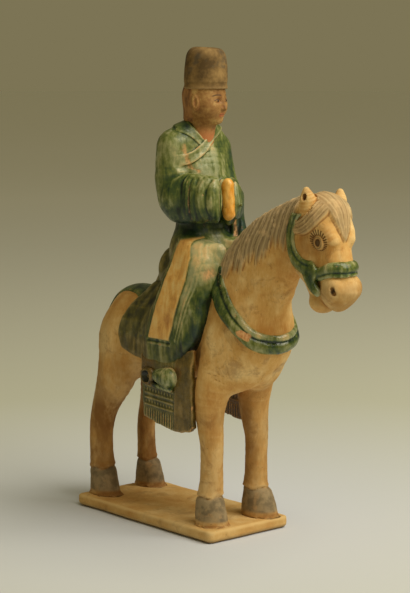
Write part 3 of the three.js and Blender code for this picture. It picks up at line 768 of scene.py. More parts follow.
def surface_net(values, low, cell):
    """One vertex in each grid cell that the surface crosses, one face for each grid edge."""
    inside = values < 0
    shape = np.array(values.shape)
    total = np.zeros(shape - 1, np.int8)
    for corner in np.ndindex(2, 2, 2):
        total += inside[tuple(slice(c, shape[i] - 1 + c) for i, c in enumerate(corner))]
    crossed = (total > 0) & (total < 8)
    cells = np.argwhere(crossed)
    number = np.full(crossed.shape, -1, np.int32)
    number[crossed] = np.arange(len(cells))
    place = np.zeros((len(cells), 3))
    hits = np.zeros(len(cells))
    at = {c: values[cells[:, 0] + c[0], cells[:, 1] + c[1], cells[:, 2] + c[2]] for c in np.ndindex(2, 2, 2)}
    for corner in np.ndindex(2, 2, 2):
        for axis in range(3):
            if corner[axis]:
                continue
            other = tuple(1 if i == axis else corner[i] for i in range(3))
            a, b = at[corner], at[other]
            cut = (a < 0) != (b < 0)
            spot = np.tile(np.array(corner, float), (len(cells), 1))
            spot[:, axis] += np.where(cut, a / np.where(cut, a - b, 1), 0)
            place[cut] += spot[cut]
            hits[cut] += 1
    vertices = (cells + place / hits[:, None]) * cell + low
    faces = []
    for axis in range(3):
        here = inside[tuple(slice(0, -1) if i == axis else slice(None) for i in range(3))]
        ahead = inside[tuple(slice(1, None) if i == axis else slice(None) for i in range(3))]
        edges = np.argwhere(here != ahead)
        u, v = (axis + 1) % 3, (axis + 2) % 3
        leaves = here[edges[:, 0], edges[:, 1], edges[:, 2]]
        ring = []
        for du, dv in ((-1, -1), (0, -1), (0, 0), (-1, 0)):
            step = edges.copy()
            step[:, u] += du
            step[:, v] += dv
            ring.append(number[step[:, 0], step[:, 1], step[:, 2]])
        quads = np.stack(ring, 1)
        quads[~leaves] = quads[~leaves][:, ::-1]
        faces.append(quads)
    return vertices, np.concatenate(faces)


def gradient(field, vertices, step=0.15):
    out = np.empty((len(vertices), 3))
    for axis in range(3):
        shift = np.zeros(3)
        shift[axis] = step
        ahead = evaluate(field, (vertices + shift).astype(np.float32))
        behind = evaluate(field, (vertices - shift).astype(np.float32))
        out[:, axis] = (ahead - behind) / (2 * step)
    return out


def settle(field, vertices, limit):
    """Moves vertices onto the surface, by at most limit."""
    for _ in range(2):
        slope = gradient(field, vertices)
        length = np.maximum(np.linalg.norm(slope, axis=1), 0.3)
        gap = evaluate(field, vertices.astype(np.float32))
        step = np.clip(gap / length, -limit, limit)
        vertices = vertices - slope / length[:, None] * step[:, None]
    return vertices


def relax(vertices, faces, amount=0.5):
    """Evens out the vertices with one pass of averaging over neighbours."""
    edges = np.concatenate([faces[:, [i, (i + 1) % faces.shape[1]]] for i in range(faces.shape[1])])
    total = np.zeros_like(vertices)
    for axis in range(3):
        total[:, axis] = np.bincount(edges[:, 0], vertices[edges[:, 1], axis], len(vertices))
    count = np.bincount(edges[:, 0], minlength=len(vertices))[:, None]
    return vertices + amount * (total / np.maximum(count, 1) - vertices)


def refine(vertices, triangles, wanted):
    """Splits the wanted triangles in four and their neighbours to match."""
    edges = np.sort(np.concatenate([triangles[:, [i, (i + 1) % 3]] for i in range(3)]), axis=1)
    unique, where = np.unique(edges, axis=0, return_inverse=True)
    where = where.reshape(3, -1).T
    marked = np.zeros(len(unique), bool)
    marked[where[wanted].ravel()] = True
    fresh = np.full(len(unique), -1)
    fresh[marked] = len(vertices) + np.arange(marked.sum())
    middles = vertices[unique[marked]].mean(axis=1)
    cut = marked[where]
    pattern = cut.sum(axis=1)
    out = [triangles[pattern == 0]]
    for turn in range(3):
        a, b, c = (triangles[:, (turn + i) % 3] for i in range(3))
        ab, bc, ca = (fresh[where[:, (turn + i) % 3]] for i in range(3))
        one = (pattern == 1) & cut[:, turn]
        out += [np.stack([a, ab, c], 1)[one], np.stack([ab, b, c], 1)[one]]
        two = (pattern == 2) & ~cut[:, turn]
        out += [np.stack([ca, bc, c], 1)[two], np.stack([a, b, bc], 1)[two], np.stack([a, bc, ca], 1)[two]]
        if turn == 0:
            full = pattern == 3
            quarters = (a, ab, ca), (ab, b, bc), (ca, bc, c), (ab, bc, ca)
            out += [np.stack(quarter, 1)[full] for quarter in quarters]
    return np.concatenate([vertices, middles]), np.concatenate(out)


def split_quads(vertices, quads):
    """Triangles from quads, cut along the shorter diagonal."""
    a, b, c, d = (vertices[quads[:, i]] for i in range(4))
    short = np.linalg.norm(a - c, axis=1) <= np.linalg.norm(b - d, axis=1)
    first = np.where(short[:, None], quads[:, [0, 1, 2]], quads[:, [0, 1, 3]])
    second = np.where(short[:, None], quads[:, [0, 2, 3]], quads[:, [1, 2, 3]])
    return np.concatenate([first, second])


def make_mesh(name, field, low, high, cell, zones=(), paint=None, material=None):
    """Meshes a field, refines it in each zone in turn, and adds the attributes that paint gives."""
    values, start = grid_values(field, low, high, cell)
    outer = np.ones(values.shape, bool)
    outer[1:-1, 1:-1, 1:-1] = False
    values[outer] = np.abs(values[outer]) + 0.01
    vertices, quads = surface_net(values, start, cell)
    vertices = settle(field, relax(vertices, quads), 0.4 * cell)
    triangles = split_quads(vertices, quads)
    for zone in zones:
        vertices, triangles = refine(vertices, triangles, zone(vertices[triangles].mean(axis=1)))
        vertices = settle(field, vertices, 0.25 * cell)
    mesh = bpy.data.meshes.new(name)
    shifted = (vertices + (0, FIGURE_Y, 0)) * MM
    mesh.vertices.add(len(shifted))
    mesh.vertices.foreach_set("co", shifted.astype(np.float32).ravel())
    mesh.loops.add(3 * len(triangles))
    mesh.loops.foreach_set("vertex_index", triangles.astype(np.int32).ravel())
    mesh.polygons.add(len(triangles))
    mesh.polygons.foreach_set("loop_start", np.arange(0, 3 * len(triangles), 3, dtype=np.int32))
    mesh.update(calc_edges=True)
    mesh.validate()
    mesh.shade_smooth()
    masks = paint(vertices.astype(np.float32)) if paint else {}
    masks["ridge"] = ridge_amount(field, vertices)
    for key, value in masks.items():
        attribute = mesh.attributes.new(key, "FLOAT", "POINT")
        attribute.data.foreach_set("value", np.asarray(value, np.float32))
    piece = bpy.data.objects.new(name, mesh)
    bpy.context.scene.collection.objects.link(piece)
    mesh.materials.append(material)
    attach(piece, "root")
    print(name, len(vertices), "vertices", len(triangles), "triangles")
    return piece


def ridge_amount(field, vertices, reach=1.2):
    """0.5 on flat stretches, towards 1 on ridges and 0 in hollows."""
    slope = gradient(field, vertices)
    normal = slope / np.maximum(np.linalg.norm(slope, axis=1, keepdims=True), 1e-6)
    side = np.cross(normal, (0.3, 0.5, 0.8))
    side /= np.maximum(np.linalg.norm(side, axis=1, keepdims=True), 1e-6)
    other = np.cross(normal, side)
    bend = 0
    for way in (side, other):
        for sign in (-1, 1):
            bend = bend + evaluate(field, (vertices + sign * reach * way).astype(np.float32))
    return np.clip(0.5 + bend / 4 * 1.6, 0, 1)


# Painted and glazed areas, from places on the figure


def columns(v):
    return v[:, 0], v[:, 1], v[:, 2]


def horse_paint(v):
    p = columns(v)
    x, y, z = p
    q = mirrored(p)
    rim, lash, pupil = eye_marks(p)
    on_eye = (q[1] > 7) & (x > 146) & (x < 172)
    nostril = np.sqrt((x - 173) ** 2 + (q[1] - 13) ** 2 + ((z - 189.3) / 1.5) ** 2)
    ear = ear_side(p)
    dx, dy, dz = ear[0] - EAR_PIT[0], ear[1] - EAR_PIT[1] + 1, ear[2] - EAR_PIT[2]
    pit = np.sqrt(dx ** 2 + dy ** 2 + (dz / 1.4) ** 2)
    ink = 0.85 * bell(np.maximum(pupil, 0), 0.5) + 0.6 * bell(rim, 0.45) + 0.95 * bell(lash, 0.45)
    # Painted shade: dark in the nostril holes and the ear pits; the eye marks are inked.
    ink = ink * on_eye + bell(np.maximum(nostril - 1.2, 0), 0.6) + 0.8 * bell(np.maximum(pit - 1.0, 0), 0.7)
    edge = hoof_edge(p)
    hoof_paint = fall(z, edge - 0.6, edge + 0.4) * rise(z, 11.5, 14)
    combed = np.clip(0.5 + 0.3 * strands(p), 0, 1)
    # Browner clay: stains, and painted shade low on the legs, behind and under the body.
    return {"mane": np.maximum(mane_amount(p), 0.72 * forelock_amount(p)), "strands": combed,
            "hoof": hoof_paint, "ink": np.clip(ink, 0, 1), "stain": horse_stain_and_shade(p, q, nostril)}


def horse_stain_and_shade(p, q, nostril):
    """Where the clay is painted browner: stains round the eye, the jaw and the muzzle and in bands on the
    legs, and painted shade low on the legs, just above the plinth, on the hind legs and rump, under the belly
    and on the far legs.
    """
    x, y, z = p
    low = fall(z, 62, 128)
    hind = rise(-x, 18, 52) * fall(z, 96, 160)
    belly = bell(z - 108, 14) * bell(x + 12, 30)
    band = bell(z - 72, 11) * rise(-x, 40, 55) + 0.6 * bell(z - 88, 9) * rise(x, 40, 55)
    round_eye = bell(np.maximum(np.hypot(x - 154, z - 219) - 5, 0), 6)
    round_eye = round_eye + bell(np.hypot(x - EYE[0], z - EYE[1]), 3)
    round_eye = np.minimum(round_eye, 1) * (q[1] > 6)
    muzzle = rise(x, 146, 156) * fall(z, 190, 199)
    jaw = bell(np.hypot(x - 139, z - 205), 12) + 0.7 * bell(np.hypot(x - 128, z - 212), 10)
    far_legs = rise(y, 4, 12) * fall(z, 100, 122)
    rump = rise(-x, 30, 60) * rise(z, 120, 140)
    # Painted shade: low, the band just above the plinth, hind, rump, belly and far_legs; the rest are stains.
    stain = 0.3 * low + 0.3 * bell(z - 10, 2) + 0.52 * hind + 0.2 * rump + 0.35 * belly + 0.4 * band
    stain = stain + 0.3 * far_legs + 0.55 * round_eye + 0.5 * muzzle + 0.45 * jaw + 0.3 * bell(nostril, 5)
    return np.clip(stain, 0, 1)


def panel_amount(x, y, z):
    across = panel_place(x, z)[0]
    panel = fall(np.abs(across), 0.93, 1.02)
    top = np.where(y > 0, 203, 213)
    height = rise(z, 140.2, 141.2) * fall(z - 0.2 * (x - 30), top, top + 2)
    return panel * height * (np.abs(y) > 10)


def robe_paint(v):
    x, y, z = columns(v)
    across, beyond = panel_place(x, z)
    side = np.abs(y)
    right = rise(-y, 4, 10)
    skirt = fall(z, 210, 218)
    chest = rise(x, 20, 28) * rise(z, 244, 254) * bell(y + 2, 15)
    lap = rise(x, 30, 44) * rise(z, 182, 200) * fall(z, 220, 228) * fall(y, 4, 12)
    low_sleeve = fall(z, 228, 244) * rise(z, 212, 220)
    front = rise(beyond, 0, 3) * fall(x, 54, 62) * rise(z, 142, 160)
    behind = fall(across, -1.4, -1.0)
    rim = np.interp(z, (125, 133.5, 144, 157, 170, 186), (33, 43, 51.5, 56, 57, 60.5))
    front_edge = rise(x - rim, -13, -4) * fall(z, 172, 190)
    hem = fall(z, 136, 140)
    outer_arm = rise(side, 20, 27) * rise(z, 232, 246) * fall(z, 268, 284)
    upper_arm = bell(np.hypot(x - 22, z - 269), 15) * right
    shoulder = rise(z, 272, 284)
    depth = 0.6 - 0.2 * chest - 0.2 * lap + 0.3 * low_sleeve - 0.22 * upper_arm
    depth = depth + 0.08 * outer_arm + 0.08 * shoulder
    depth = depth + skirt * (0.04 * behind - 0.26 * front + 0.34 * front_edge - 0.06 * hem)
    crook = bell(np.hypot(polyline(x, z, CROOK_LINE), y - np.interp(z, *CROOK_SIDE)), 3.4)
    seam = bell(x - 40.0, 1.1) * right * rise(z, 222, 232) * fall(z, 252, 260)
    knee = bell(np.hypot(x - 57, (z - 191) * 0.6), 5) * right
    inner_sleeve = bell(x - 40, 2) * bell(y - 18, 2.5) * rise(z, 210, 214) * fall(z, 232, 238)
    bare = 0.62 * crook + 0.5 * seam + 0.65 * knee + 0.7 * inner_sleeve
    rust = skirt * (0.45 * behind + 0.15 * hem)
    return {"amber": panel_amount(x, y, z), "bare": np.clip(bare, 0, 1), "depth": np.clip(depth, 0, 1),
            "rust": rust}


def crupper_paint(v):
    none = 0 * v[:, 0]
    return {"amber": none, "bare": none, "depth": 0.78 + none}


def flap_paint(v):
    x, y, z = columns(v)
    outside = rise(np.abs(y), 30.6, 31.8)
    border = rise(x, 31, 33)
    back_corner = rise(z, 104, 116) * fall(x, 4, 14)
    fleck = bell(np.hypot(x - 36, z - 118), 3)
    depth = 0.58 + 0.15 * fleck + 0.25 * rise(x, 49.4, 51.2)
    rust = 0.42 + 0.3 * border + 0.45 * back_corner + fleck
    return {"amber": 0 * x, "bare": 0 * x, "depth": 0.62 + (depth - 0.62) * outside,
            "rust": np.clip(1 + (rust - 1) * outside, 0, 1)}


def boot_paint(v):
    """The stirrup ring is a brown glaze, darker and greener inside its hollow, which is partly painted shade,
    and the boot green with a paler toe.
    """
    x, y, z = columns(v)
    ring = fall(x, 9, 13)
    toe = rise(x, 20, 29)
    # Partly painted shade: deeper, greener glaze inside the stirrup ring's hollow.
    inside = fall(np.hypot(x - STIRRUP_RING[0], z - STIRRUP_RING[1]), 3.8, 5.2)
    depth = 0.72 - 0.34 * toe * (1 - ring) + 0.3 * inside
    return {"amber": 0 * x, "bare": 0 * x, "depth": depth, "rust": (0.8 - 0.5 * inside) * ring}


def harness_paint(v):
    x, y, z = columns(v)
    (cx, cz), r = BREAST_STRAP
    ring = np.hypot(x - cx, z - cz) - r
    chip = np.hypot((x - 97.5) / 5.6, (ring + 2.2) / 2.8) + 0.3 * wobble((x, y, z), 6, 71)
    bare = fall(chip, 0.7, 1.15) * (y < 0)
    on_breast = fall(x, 118, 124)
    groove = bell(ring + 3 + 3.2 * fall(x, 91, 105), 1.0) * on_breast
    pale = rise(-ring, 2, 5) * on_breast
    lit = rise(x, 160, 172)
    shade = 0.2 * fall(x, 76, 96) * on_breast
    return {"amber": 0 * x, "bare": bare, "depth": 0.68 - 0.12 * lit + 0.25 * groove - 0.18 * pale + shade}


def head_paint(v):
    h = head_frame(columns(v))
    x, y, z = h
    side = np.abs(y)
    front = rise(x, 6, 9)
    brow_line = z - FACE["brow"] - 1.1 + 0.06 * (side - 5.4) ** 2
    brow = bell(brow_line, 0.42) * rise(side, 1.8, 3.0) * fall(side, 8.6, 9.8)
    lid_line = z - FACE["eye"] - 1.0 + 0.11 * (side - 5.5) ** 2
    lid = bell(lid_line, 0.3) * rise(side, 2.4, 3.0) * fall(side, 8.3, 9.0)
    pupil = np.sqrt((side - 5.5) ** 2 + (z - FACE["eye"] + 0.1) ** 2)
    iris = fall(pupil, 0.75, 1.1)
    lips = bell(np.maximum(np.abs(z - FACE["mouth"]) - 0.9, 0), 0.5) * fall(side, 2.6, 3.4)
    part = bell(z - FACE["mouth"], 0.25) * fall(side, 2.8, 3.6)
    ink = np.clip((0.9 * brow + 0.85 * lid + iris) * front + 0.4 * part * front, 0, 1)
    return {"ink": ink, "lips": lips * front, "hair": hair_amount(h)}


# Shaders: each call adds a node and gives back its output socket


def tone(*shades):
    """Red, green and blue as seen on a screen, 0 to 255, as the linear values that shaders take."""
    parts = [shade / 255 for shade in shades]
    return *(c / 12.92 if c <= 0.04045 else ((c + 0.055) / 1.055) ** 2.4 for c in parts), 1.0


class Shades:
    def __init__(self, name):
        self.material = bpy.data.materials.new(name)
        self.material.use_nodes = True
        self.tree = self.material.node_tree
        self.tree.nodes.clear()
        self.place = self.node("TexCoord").outputs["Object"]

    def node(self, kind, inputs=None, **settings):
        made = self.tree.nodes.new("ShaderNode" + kind)
        for key, value in settings.items():
            setattr(made, key, value)
        for key, value in (inputs or {}).items():
            self.feed(made.inputs[key], value)
        return made

    def feed(self, socket, value):
        if isinstance(value, bpy.types.NodeSocket):
            self.tree.links.new(value, socket)
        else:
            socket.default_value = value

    def mask(self, name):
        return self.node("Attribute", attribute_name=name).outputs["Fac"]

    def scaled(self, size, stretch=(1, 1, 1)):
        """The place in steps of size millimetres, longer along an axis by its stretch."""
        scale = tuple(1 / (size * MM * way) for way in stretch)
        return self.node("Mapping", {"Vector": self.place, "Scale": scale}).outputs[0]

    def noise(self, size, detail=3.0, rough=0.5, stretch=(1, 1, 1), distortion=0.0):
        """Noise with bumps of about size millimetres."""
        return self.node("TexNoise", {"Vector": self.scaled(size, stretch), "Scale": 1.0, "Detail": detail,
                                      "Roughness": rough, "Distortion": distortion}).outputs[0]

    def cells(self, size):
        """Distance to the edges of irregular cells of about size millimetres."""
        inputs = {"Vector": self.scaled(size), "Scale": 1.0}
        return self.node("TexVoronoi", inputs, feature="DISTANCE_TO_EDGE").outputs[0]

    def height(self):
        return self.node("SeparateXYZ", {"Vector": self.place}).outputs[2]

    def math(self, operation, a, b):
        return self.node("Math", {0: a, 1: b}, operation=operation).outputs[0]

    def add(self, *values):
        total = values[0]
        for value in values[1:]:
            total = self.math("ADD", total, value)
        return total

    def times(self, a, b):
        return self.math("MULTIPLY", a, b)

    def swing(self, value, amount):
        """How far value is over its middle of 0.5, times amount."""
        return self.times(self.math("SUBTRACT", value, 0.5), amount)

    def level(self, value, low, high, start=0.0, end=1.0):
        """Smoothly from start, where value is low, to end, where it is high."""
        return self.node("MapRange", {"Value": value, "From Min": low, "From Max": high, "To Min": start,
                                      "To Max": end}, interpolation_type="SMOOTHSTEP").outputs[0]

    def mix(self, factor, a, b):
        made = self.node("Mix", data_type="RGBA", clamp_factor=True)
        self.feed(made.inputs[0], factor)
        self.feed(made.inputs[6], a)
        self.feed(made.inputs[7], b)
        return made.outputs[2]

    def ramp(self, value, *stops):
        made = self.node("ValToRGB", {"Fac": value})
        elements = made.color_ramp.elements
        elements[0].position, elements[0].color = stops[0]
        elements[1].position, elements[1].color = stops[-1]
        for position, colour in stops[1:-1]:
            elements.new(position).color = colour
        return made.outputs["Color"]

    def bump(self, height, depth, below=None):
        """A bump of depth millimetres where height is 1."""
        inputs = {"Height": height, "Distance": depth * MM, "Strength": 1.0}
        if below:
            inputs["Normal"] = below
        return self.node("Bump", inputs).outputs[0]

    def finish(self, colour, roughness, normal, specular=0.5):
        surface = self.node("BsdfPrincipled", {"Base Color": colour, "Roughness": roughness, "Normal": normal,
                                               "Specular IOR Level": specular})
        output = self.node("OutputMaterial", {"Surface": surface.outputs[0]})
        output.is_active_output = True
        return self.material


CREAM = tone(238, 206, 146)
OCHRE = tone(216, 170, 100)
ORANGE = tone(194, 136, 66)
BROWN = tone(140, 92, 46)
DIRT_AND_SHADE = tone(92, 64, 38)


def clay_colour(s, grain_stretch=(1, 1, 1)):
    """Buff clay, stained orange and brown, paler on its ridges and darker in its hollows."""
    broad = s.noise(34, 4, 0.6)
    patch = s.noise(11, 4, 0.62, grain_stretch)
    fine = s.noise(2.2, 5, 0.7, grain_stretch)
    mixed = s.add(s.times(broad, 0.62), s.times(patch, 0.34), s.times(fine, 0.14))
    colour = s.ramp(mixed, (0.42, ORANGE), (0.54, OCHRE), (0.68, CREAM))
    ridge = s.mask("ridge")
    colour = s.mix(s.level(ridge, 0.52, 0.75, 0, 0.5), colour, CREAM)
    colour = s.mix(s.level(ridge, 0.48, 0.2, 0, 0.75), colour, BROWN)
    # Random brown stains over the clay.
    stain = s.times(s.level(s.noise(17, 5, 0.7, distortion=0.6), 0.52, 0.68), 0.5)
    colour = s.mix(stain, colour, BROWN)
    brushed = s.noise(1.2, 3, 0.6, tuple(0.6 * way ** 1.8 for way in grain_stretch))
    colour = s.mix(s.level(brushed, 0.56, 0.70, 0, 0.25), colour, CREAM)
    colour = s.mix(s.level(brushed, 0.44, 0.30, 0, 0.16), colour, BROWN)
    # Dark specks of dirt.
    specks = s.level(s.noise(1.6, 2, 0.5), 0.70, 0.78, 0, 0.6)
    return s.mix(specks, colour, DIRT_AND_SHADE)


def clay_bump(s, grain_stretch=(1, 1, 1)):
    grain = s.noise(1.3, 6, 0.7, grain_stretch)
    pits = s.level(s.noise(2.6, 3, 0.6), 0.32, 0.24)
    soft = s.bump(s.noise(7, 3, 0.5), 0.35)
    return s.bump(s.add(grain, s.times(pits, -0.5)), 0.12, soft)


def painted_horse():
    s = Shades("painted_horse_clay")
    upright = (1, 1, 2.6)
    colour = clay_colour(s, upright)
    # Browner clay: stains, and painted shade low on the legs, behind and under the body.
    soiled_and_shaded = s.times(s.mask("stain"), s.level(s.noise(14, 5, 0.65, upright), 0.34, 0.6, 0.45, 1.0))
    colour = s.mix(soiled_and_shaded, colour, tone(136, 94, 44))
    mane, hair = s.mask("mane"), s.mask("strands")
    worn = s.noise(6, 4, 0.6, (1, 1, 1.4))
    dark_hair = s.mix(s.level(hair, 0.2, 0.8), tone(112, 98, 74), tone(190, 168, 130))
    dark_hair = s.mix(s.level(worn, 0.48, 0.66, 0, 0.65), dark_hair, tone(212, 182, 138))
    colour = s.mix(s.times(mane, 0.88), colour, dark_hair)
    hoof_tone = s.mix(s.level(s.noise(8, 4, 0.6), 0.34, 0.62), tone(104, 94, 74), tone(152, 134, 102))
    hoof_tone = s.mix(s.level(s.noise(10, 4, 0.65), 0.54, 0.7, 0, 0.55), hoof_tone, tone(190, 152, 104))
    colour = s.mix(s.times(s.mask("hoof"), 0.88), colour, hoof_tone)
    # Dark paint on the eye marks, and painted shade in the nostrils and ear pits.
    colour = s.mix(s.mask("ink"), colour, tone(52, 36, 24))
    return s.finish(colour, s.level(worn, 0.3, 0.7, 0.72, 0.9), clay_bump(s, upright), 0.3)


def plinth_clay():
    s = Shades("plinth_clay")
    colour = s.mix(0.4, clay_colour(s), tone(200, 166, 104))
    # Painted highlight: paler along the slab's edges.
    edge = s.level(s.mask("ridge"), 0.6, 0.8, 0, 0.5)
    colour = s.mix(edge, colour, tone(214, 182, 124))
    # Painted shade: darker towards the slab's foot, where it meets the floor.
    low = s.level(s.height(), 0.004, 0.0005, 0, 0.6)
    colour = s.mix(low, colour, DIRT_AND_SHADE)
    return s.finish(colour, 0.88, clay_bump(s), 0.25)


def lead_glaze(name="lead_glaze", mottle=1.0, smooth=0.2):
    """Green glaze: dark where it is deep, pale where it is thin, gone to bare clay where it has worn."""
    s = Shades(name)
    runs = s.noise(5, 4, 0.6, (1, 1, 4.5), 0.4)
    clouds = s.noise(16, 4, 0.6)
    flecks = s.noise(1.8, 4, 0.65, (1, 1, 2))
    ridge = s.mask("ridge")
    depth = s.add(s.mask("depth"), s.swing(runs, 0.75 * mottle),
                  s.swing(clouds, 0.9 * mottle),
                  s.swing(flecks, 0.3 * mottle),
                  s.times(s.math("SUBTRACT", 0.5, ridge), 0.75))
    green = s.ramp(depth, (0.0, tone(214, 184, 126)), (0.16, tone(192, 178, 124)),
                   (0.34, tone(152, 154, 104)), (0.52, tone(108, 116, 54)), (0.7, tone(66, 84, 36)),
                   (0.86, tone(34, 58, 32)), (1.0, tone(16, 34, 24)))
    rust = s.ramp(depth, (0.2, tone(168, 124, 60)), (0.5, tone(122, 88, 38)), (0.8, tone(80, 58, 26)),
                  (1.0, tone(50, 34, 18)))
    milky = s.level(s.noise(21, 4, 0.6), 0.5, 0.62, 0, 0.5)
    green = s.mix(s.times(milky, s.level(depth, 0.62, 0.4)), green, tone(156, 164, 128))
    blue = s.level(s.noise(12, 3, 0.5), 0.56, 0.7, 0, 0.35)
    green = s.mix(s.times(blue, s.level(depth, 0.6, 0.9)), green, tone(22, 52, 62))
    amber_tone = s.ramp(s.add(s.times(runs, 0.6), s.times(clouds, 0.5)),
                        (0.38, tone(186, 122, 52)), (0.55, tone(236, 182, 98)), (0.72, tone(248, 216, 146)))
    colour = s.mix(s.mask("amber"), s.mix(s.mask("rust"), green, rust), amber_tone)
    clay = s.mix(s.level(flecks, 0.4, 0.6), tone(196, 132, 74), tone(222, 170, 112))
    worn = s.add(s.mask("bare"), s.swing(flecks, 0.9))
    worn = s.level(worn, 0.3, 0.85)
    chips = s.level(s.add(s.noise(3.2, 4, 0.7), s.swing(ridge, 0.35)), 0.69, 0.76)
    colour = s.mix(s.math("MAXIMUM", worn, s.times(chips, 0.8)), colour, clay)
    crackle = s.level(s.cells(1.7), 0.03, 0.0, 0, 0.18)
    colour = s.mix(crackle, colour, tone(40, 40, 26))
    matte = s.math("MAXIMUM", worn, chips)
    rough = s.add(s.level(s.noise(4, 4, 0.6), 0.35, 0.65, smooth, smooth + 0.22), s.times(matte, 0.3))
    normal = s.bump(s.add(s.noise(3, 4, 0.55), s.times(matte, -0.5)), 0.3, s.bump(s.noise(9, 2, 0.5), 0.5))
    return s.finish(colour, rough, normal, 0.5)


def amber_glaze():
    s = Shades("amber_glaze")
    runs = s.noise(4, 4, 0.6, (1, 1, 3))
    ridge = s.mask("ridge")
    value = s.add(s.times(runs, 0.8), s.times(ridge, 0.3))
    colour = s.ramp(value, (0.35, tone(168, 98, 24)), (0.52, tone(226, 154, 50)), (0.72, tone(244, 190, 98)))
    chips = s.level(s.noise(2.4, 4, 0.7), 0.62, 0.7, 0, 0.8)
    colour = s.mix(chips, colour, tone(138, 78, 34))
    normal = s.bump(s.noise(2.2, 3, 0.6), 0.25)
    return s.finish(colour, s.level(s.noise(3, 3, 0.6), 0.3, 0.7, 0.2, 0.45), normal, 0.5)


def head_clay():
    s = Shades("painted_head")
    skin = s.ramp(s.add(s.times(s.noise(9, 4, 0.6), 0.7), s.times(s.noise(2, 4, 0.6), 0.3)),
                  (0.36, tone(130, 88, 42)), (0.52, tone(162, 120, 66)), (0.68, tone(198, 162, 100)))
    skin = s.mix(s.level(s.mask("ridge"), 0.47, 0.2, 0, 0.6), skin, tone(150, 98, 54))
    low = s.level(s.height(), 0.296, 0.286)
    skin = s.mix(s.times(low, 0.75), skin, tone(206, 128, 78))
    hair = s.mix(s.level(s.noise(4, 4, 0.6, (1, 1, 3)), 0.4, 0.62), tone(118, 80, 44), tone(166, 118, 68))
    colour = s.mix(s.mask("hair"), skin, hair)
    colour = s.mix(s.times(s.mask("lips"), 0.55), colour, tone(176, 84, 56))
    worn = s.level(s.noise(1.4, 3, 0.6), 0.3, 0.46, 0.55, 1)
    # On the head this mask holds only ink: brows, lids, eyes and the parting of the lips.
    colour = s.mix(s.times(s.mask("ink"), worn), colour, tone(50, 36, 26))
    return s.finish(colour, s.level(s.noise(3, 3, 0.5), 0.3, 0.7, 0.55, 0.75), clay_bump(s), 0.35)


def hat_pigment():
    s = Shades("hat_pigment")
    broad = s.noise(13, 3, 0.55)
    colour = s.ramp(s.add(s.times(broad, 0.75), s.times(s.noise(2.4, 4, 0.6), 0.25)),
                    (0.40, tone(90, 70, 40)), (0.52, tone(122, 96, 56)), (0.66, tone(154, 124, 76)))
    base = s.level(s.height(), 0.327, 0.320, 0, 0.5)
    colour = s.mix(base, colour, tone(158, 124, 78))
    patches = s.level(s.noise(16, 3, 0.5, (1, 1, 0.7)), 0.46, 0.58, 0, 0.75)
    sooty = s.times(s.level(s.height(), 0.326, 0.338), patches)
    colour = s.mix(sooty, colour, tone(84, 74, 58))
    colour = s.mix(s.level(s.mask("ridge"), 0.54, 0.75, 0, 0.45), colour, tone(170, 140, 96))
    return s.finish(colour, 0.86, clay_bump(s), 0.25)


def floor_paper():
    """Pale paper, bluish under the figure, and lighter where the lights reach it less."""
    s = Shades("floor_paper")
    metres = s.node("VectorMath", {0: s.place}, operation="LENGTH").outputs["Value"]
    ramp_end = 6
    colour = s.ramp(s.times(metres, 1 / ramp_end), (0.01, tone(214, 219, 228)), (0.083, tone(208, 210, 194)),
                    (0.2, tone(220, 221, 210)), (0.317, tone(230, 231, 224)), (0.5, tone(247, 247, 243)),
                    (0.85, tone(253, 253, 253)))
    grain = s.bump(s.noise(1.5, 2, 0.5), 0.02)
    return s.finish(colour, 0.95, grain, 0.1)


# Pieces


def plinth(p):
    half = (79.0, 39.2, 4.5)
    corner = 5.0
    z = p[2] - half[2]
    uneven = 0.35 * wobble(p, 45, 81) + 0.12 * wobble(p, 9, 82)
    qx = np.abs(p[0]) - half[0] + corner + 0.3
    qy = np.abs(p[1] + FIGURE_Y) - half[1] + corner + 0.3
    beyond = np.sqrt(np.maximum(qx, 0) ** 2 + np.maximum(qy, 0) ** 2)
    wall = beyond + np.minimum(np.maximum(qx, qy), 0) - corner
    wall = wall - uneven + 1.6 * rise(-z, half[2] - 2.6, half[2])
    lid = np.where(z > 0, z - half[2] - 0.3 * uneven, -z - half[2])
    return smooth_max(wall, lid, 2.4)


def build_pieces():
    glaze = lead_glaze()
    robe_glaze = lead_glaze("robe_glaze", 1.1, 0.3)
    boot_glaze = lead_glaze("boot_glaze", 2.2)
    strap_glaze = lead_glaze("strap_glaze", 1.3, 0.1)
    build = [
        make_mesh("plinth_slab", plinth, (-82, -44, -3), (82, 42, 12), 1.4, material=plinth_clay()),
        make_mesh("horse", horse, (-88, -42, 5), (184, 42, 262), 1.35, [head_zone, eye_zone], horse_paint,
                  painted_horse()),
        make_mesh("robe_and_saddle", robe, (-46, -44, 112), (78, 44, 306), 1.0, [collar_zone], robe_paint,
                  robe_glaze),
        make_mesh("saddle_flaps", flaps, (-32, -40, 70), (60, 40, 142), 0.8, (), flap_paint, glaze),
        make_mesh("boots_and_stirrups", boots, (-16, -46, 96), (42, 46, 128), 0.7, (), boot_paint, boot_glaze),
        make_mesh("harness", harness, (46, -36, 132), (186, 36, 248), 0.75, (), harness_paint, strap_glaze),
        make_mesh("crupper", crupper, (-84, -20, 132), (-6, 18, 176), 0.8, (), crupper_paint, glaze),
        make_mesh("rider_head", rider_head, (3, -20, 264), (48, 24, 346), 0.55, [face_zone], head_paint,
                  head_clay()),
        make_mesh("hat", hat, (6, -19, 317), (46, 23, 356), 0.7, (), None, hat_pigment()),
        make_mesh("instrument", instrument, (42, -9, 220), (64, 9, 264), 0.5, (), None, amber_glaze()),
    ]
    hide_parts("plinth")
    for piece in build[1:]:
        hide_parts("horse_and_rider")
    return build


def head_zone(v):
    hair = np.maximum(mane_amount(columns(v)), forelock_amount(columns(v)))
    return (v[:, 0] > 138) & (v[:, 2] > 168) | (hair > 0.05)


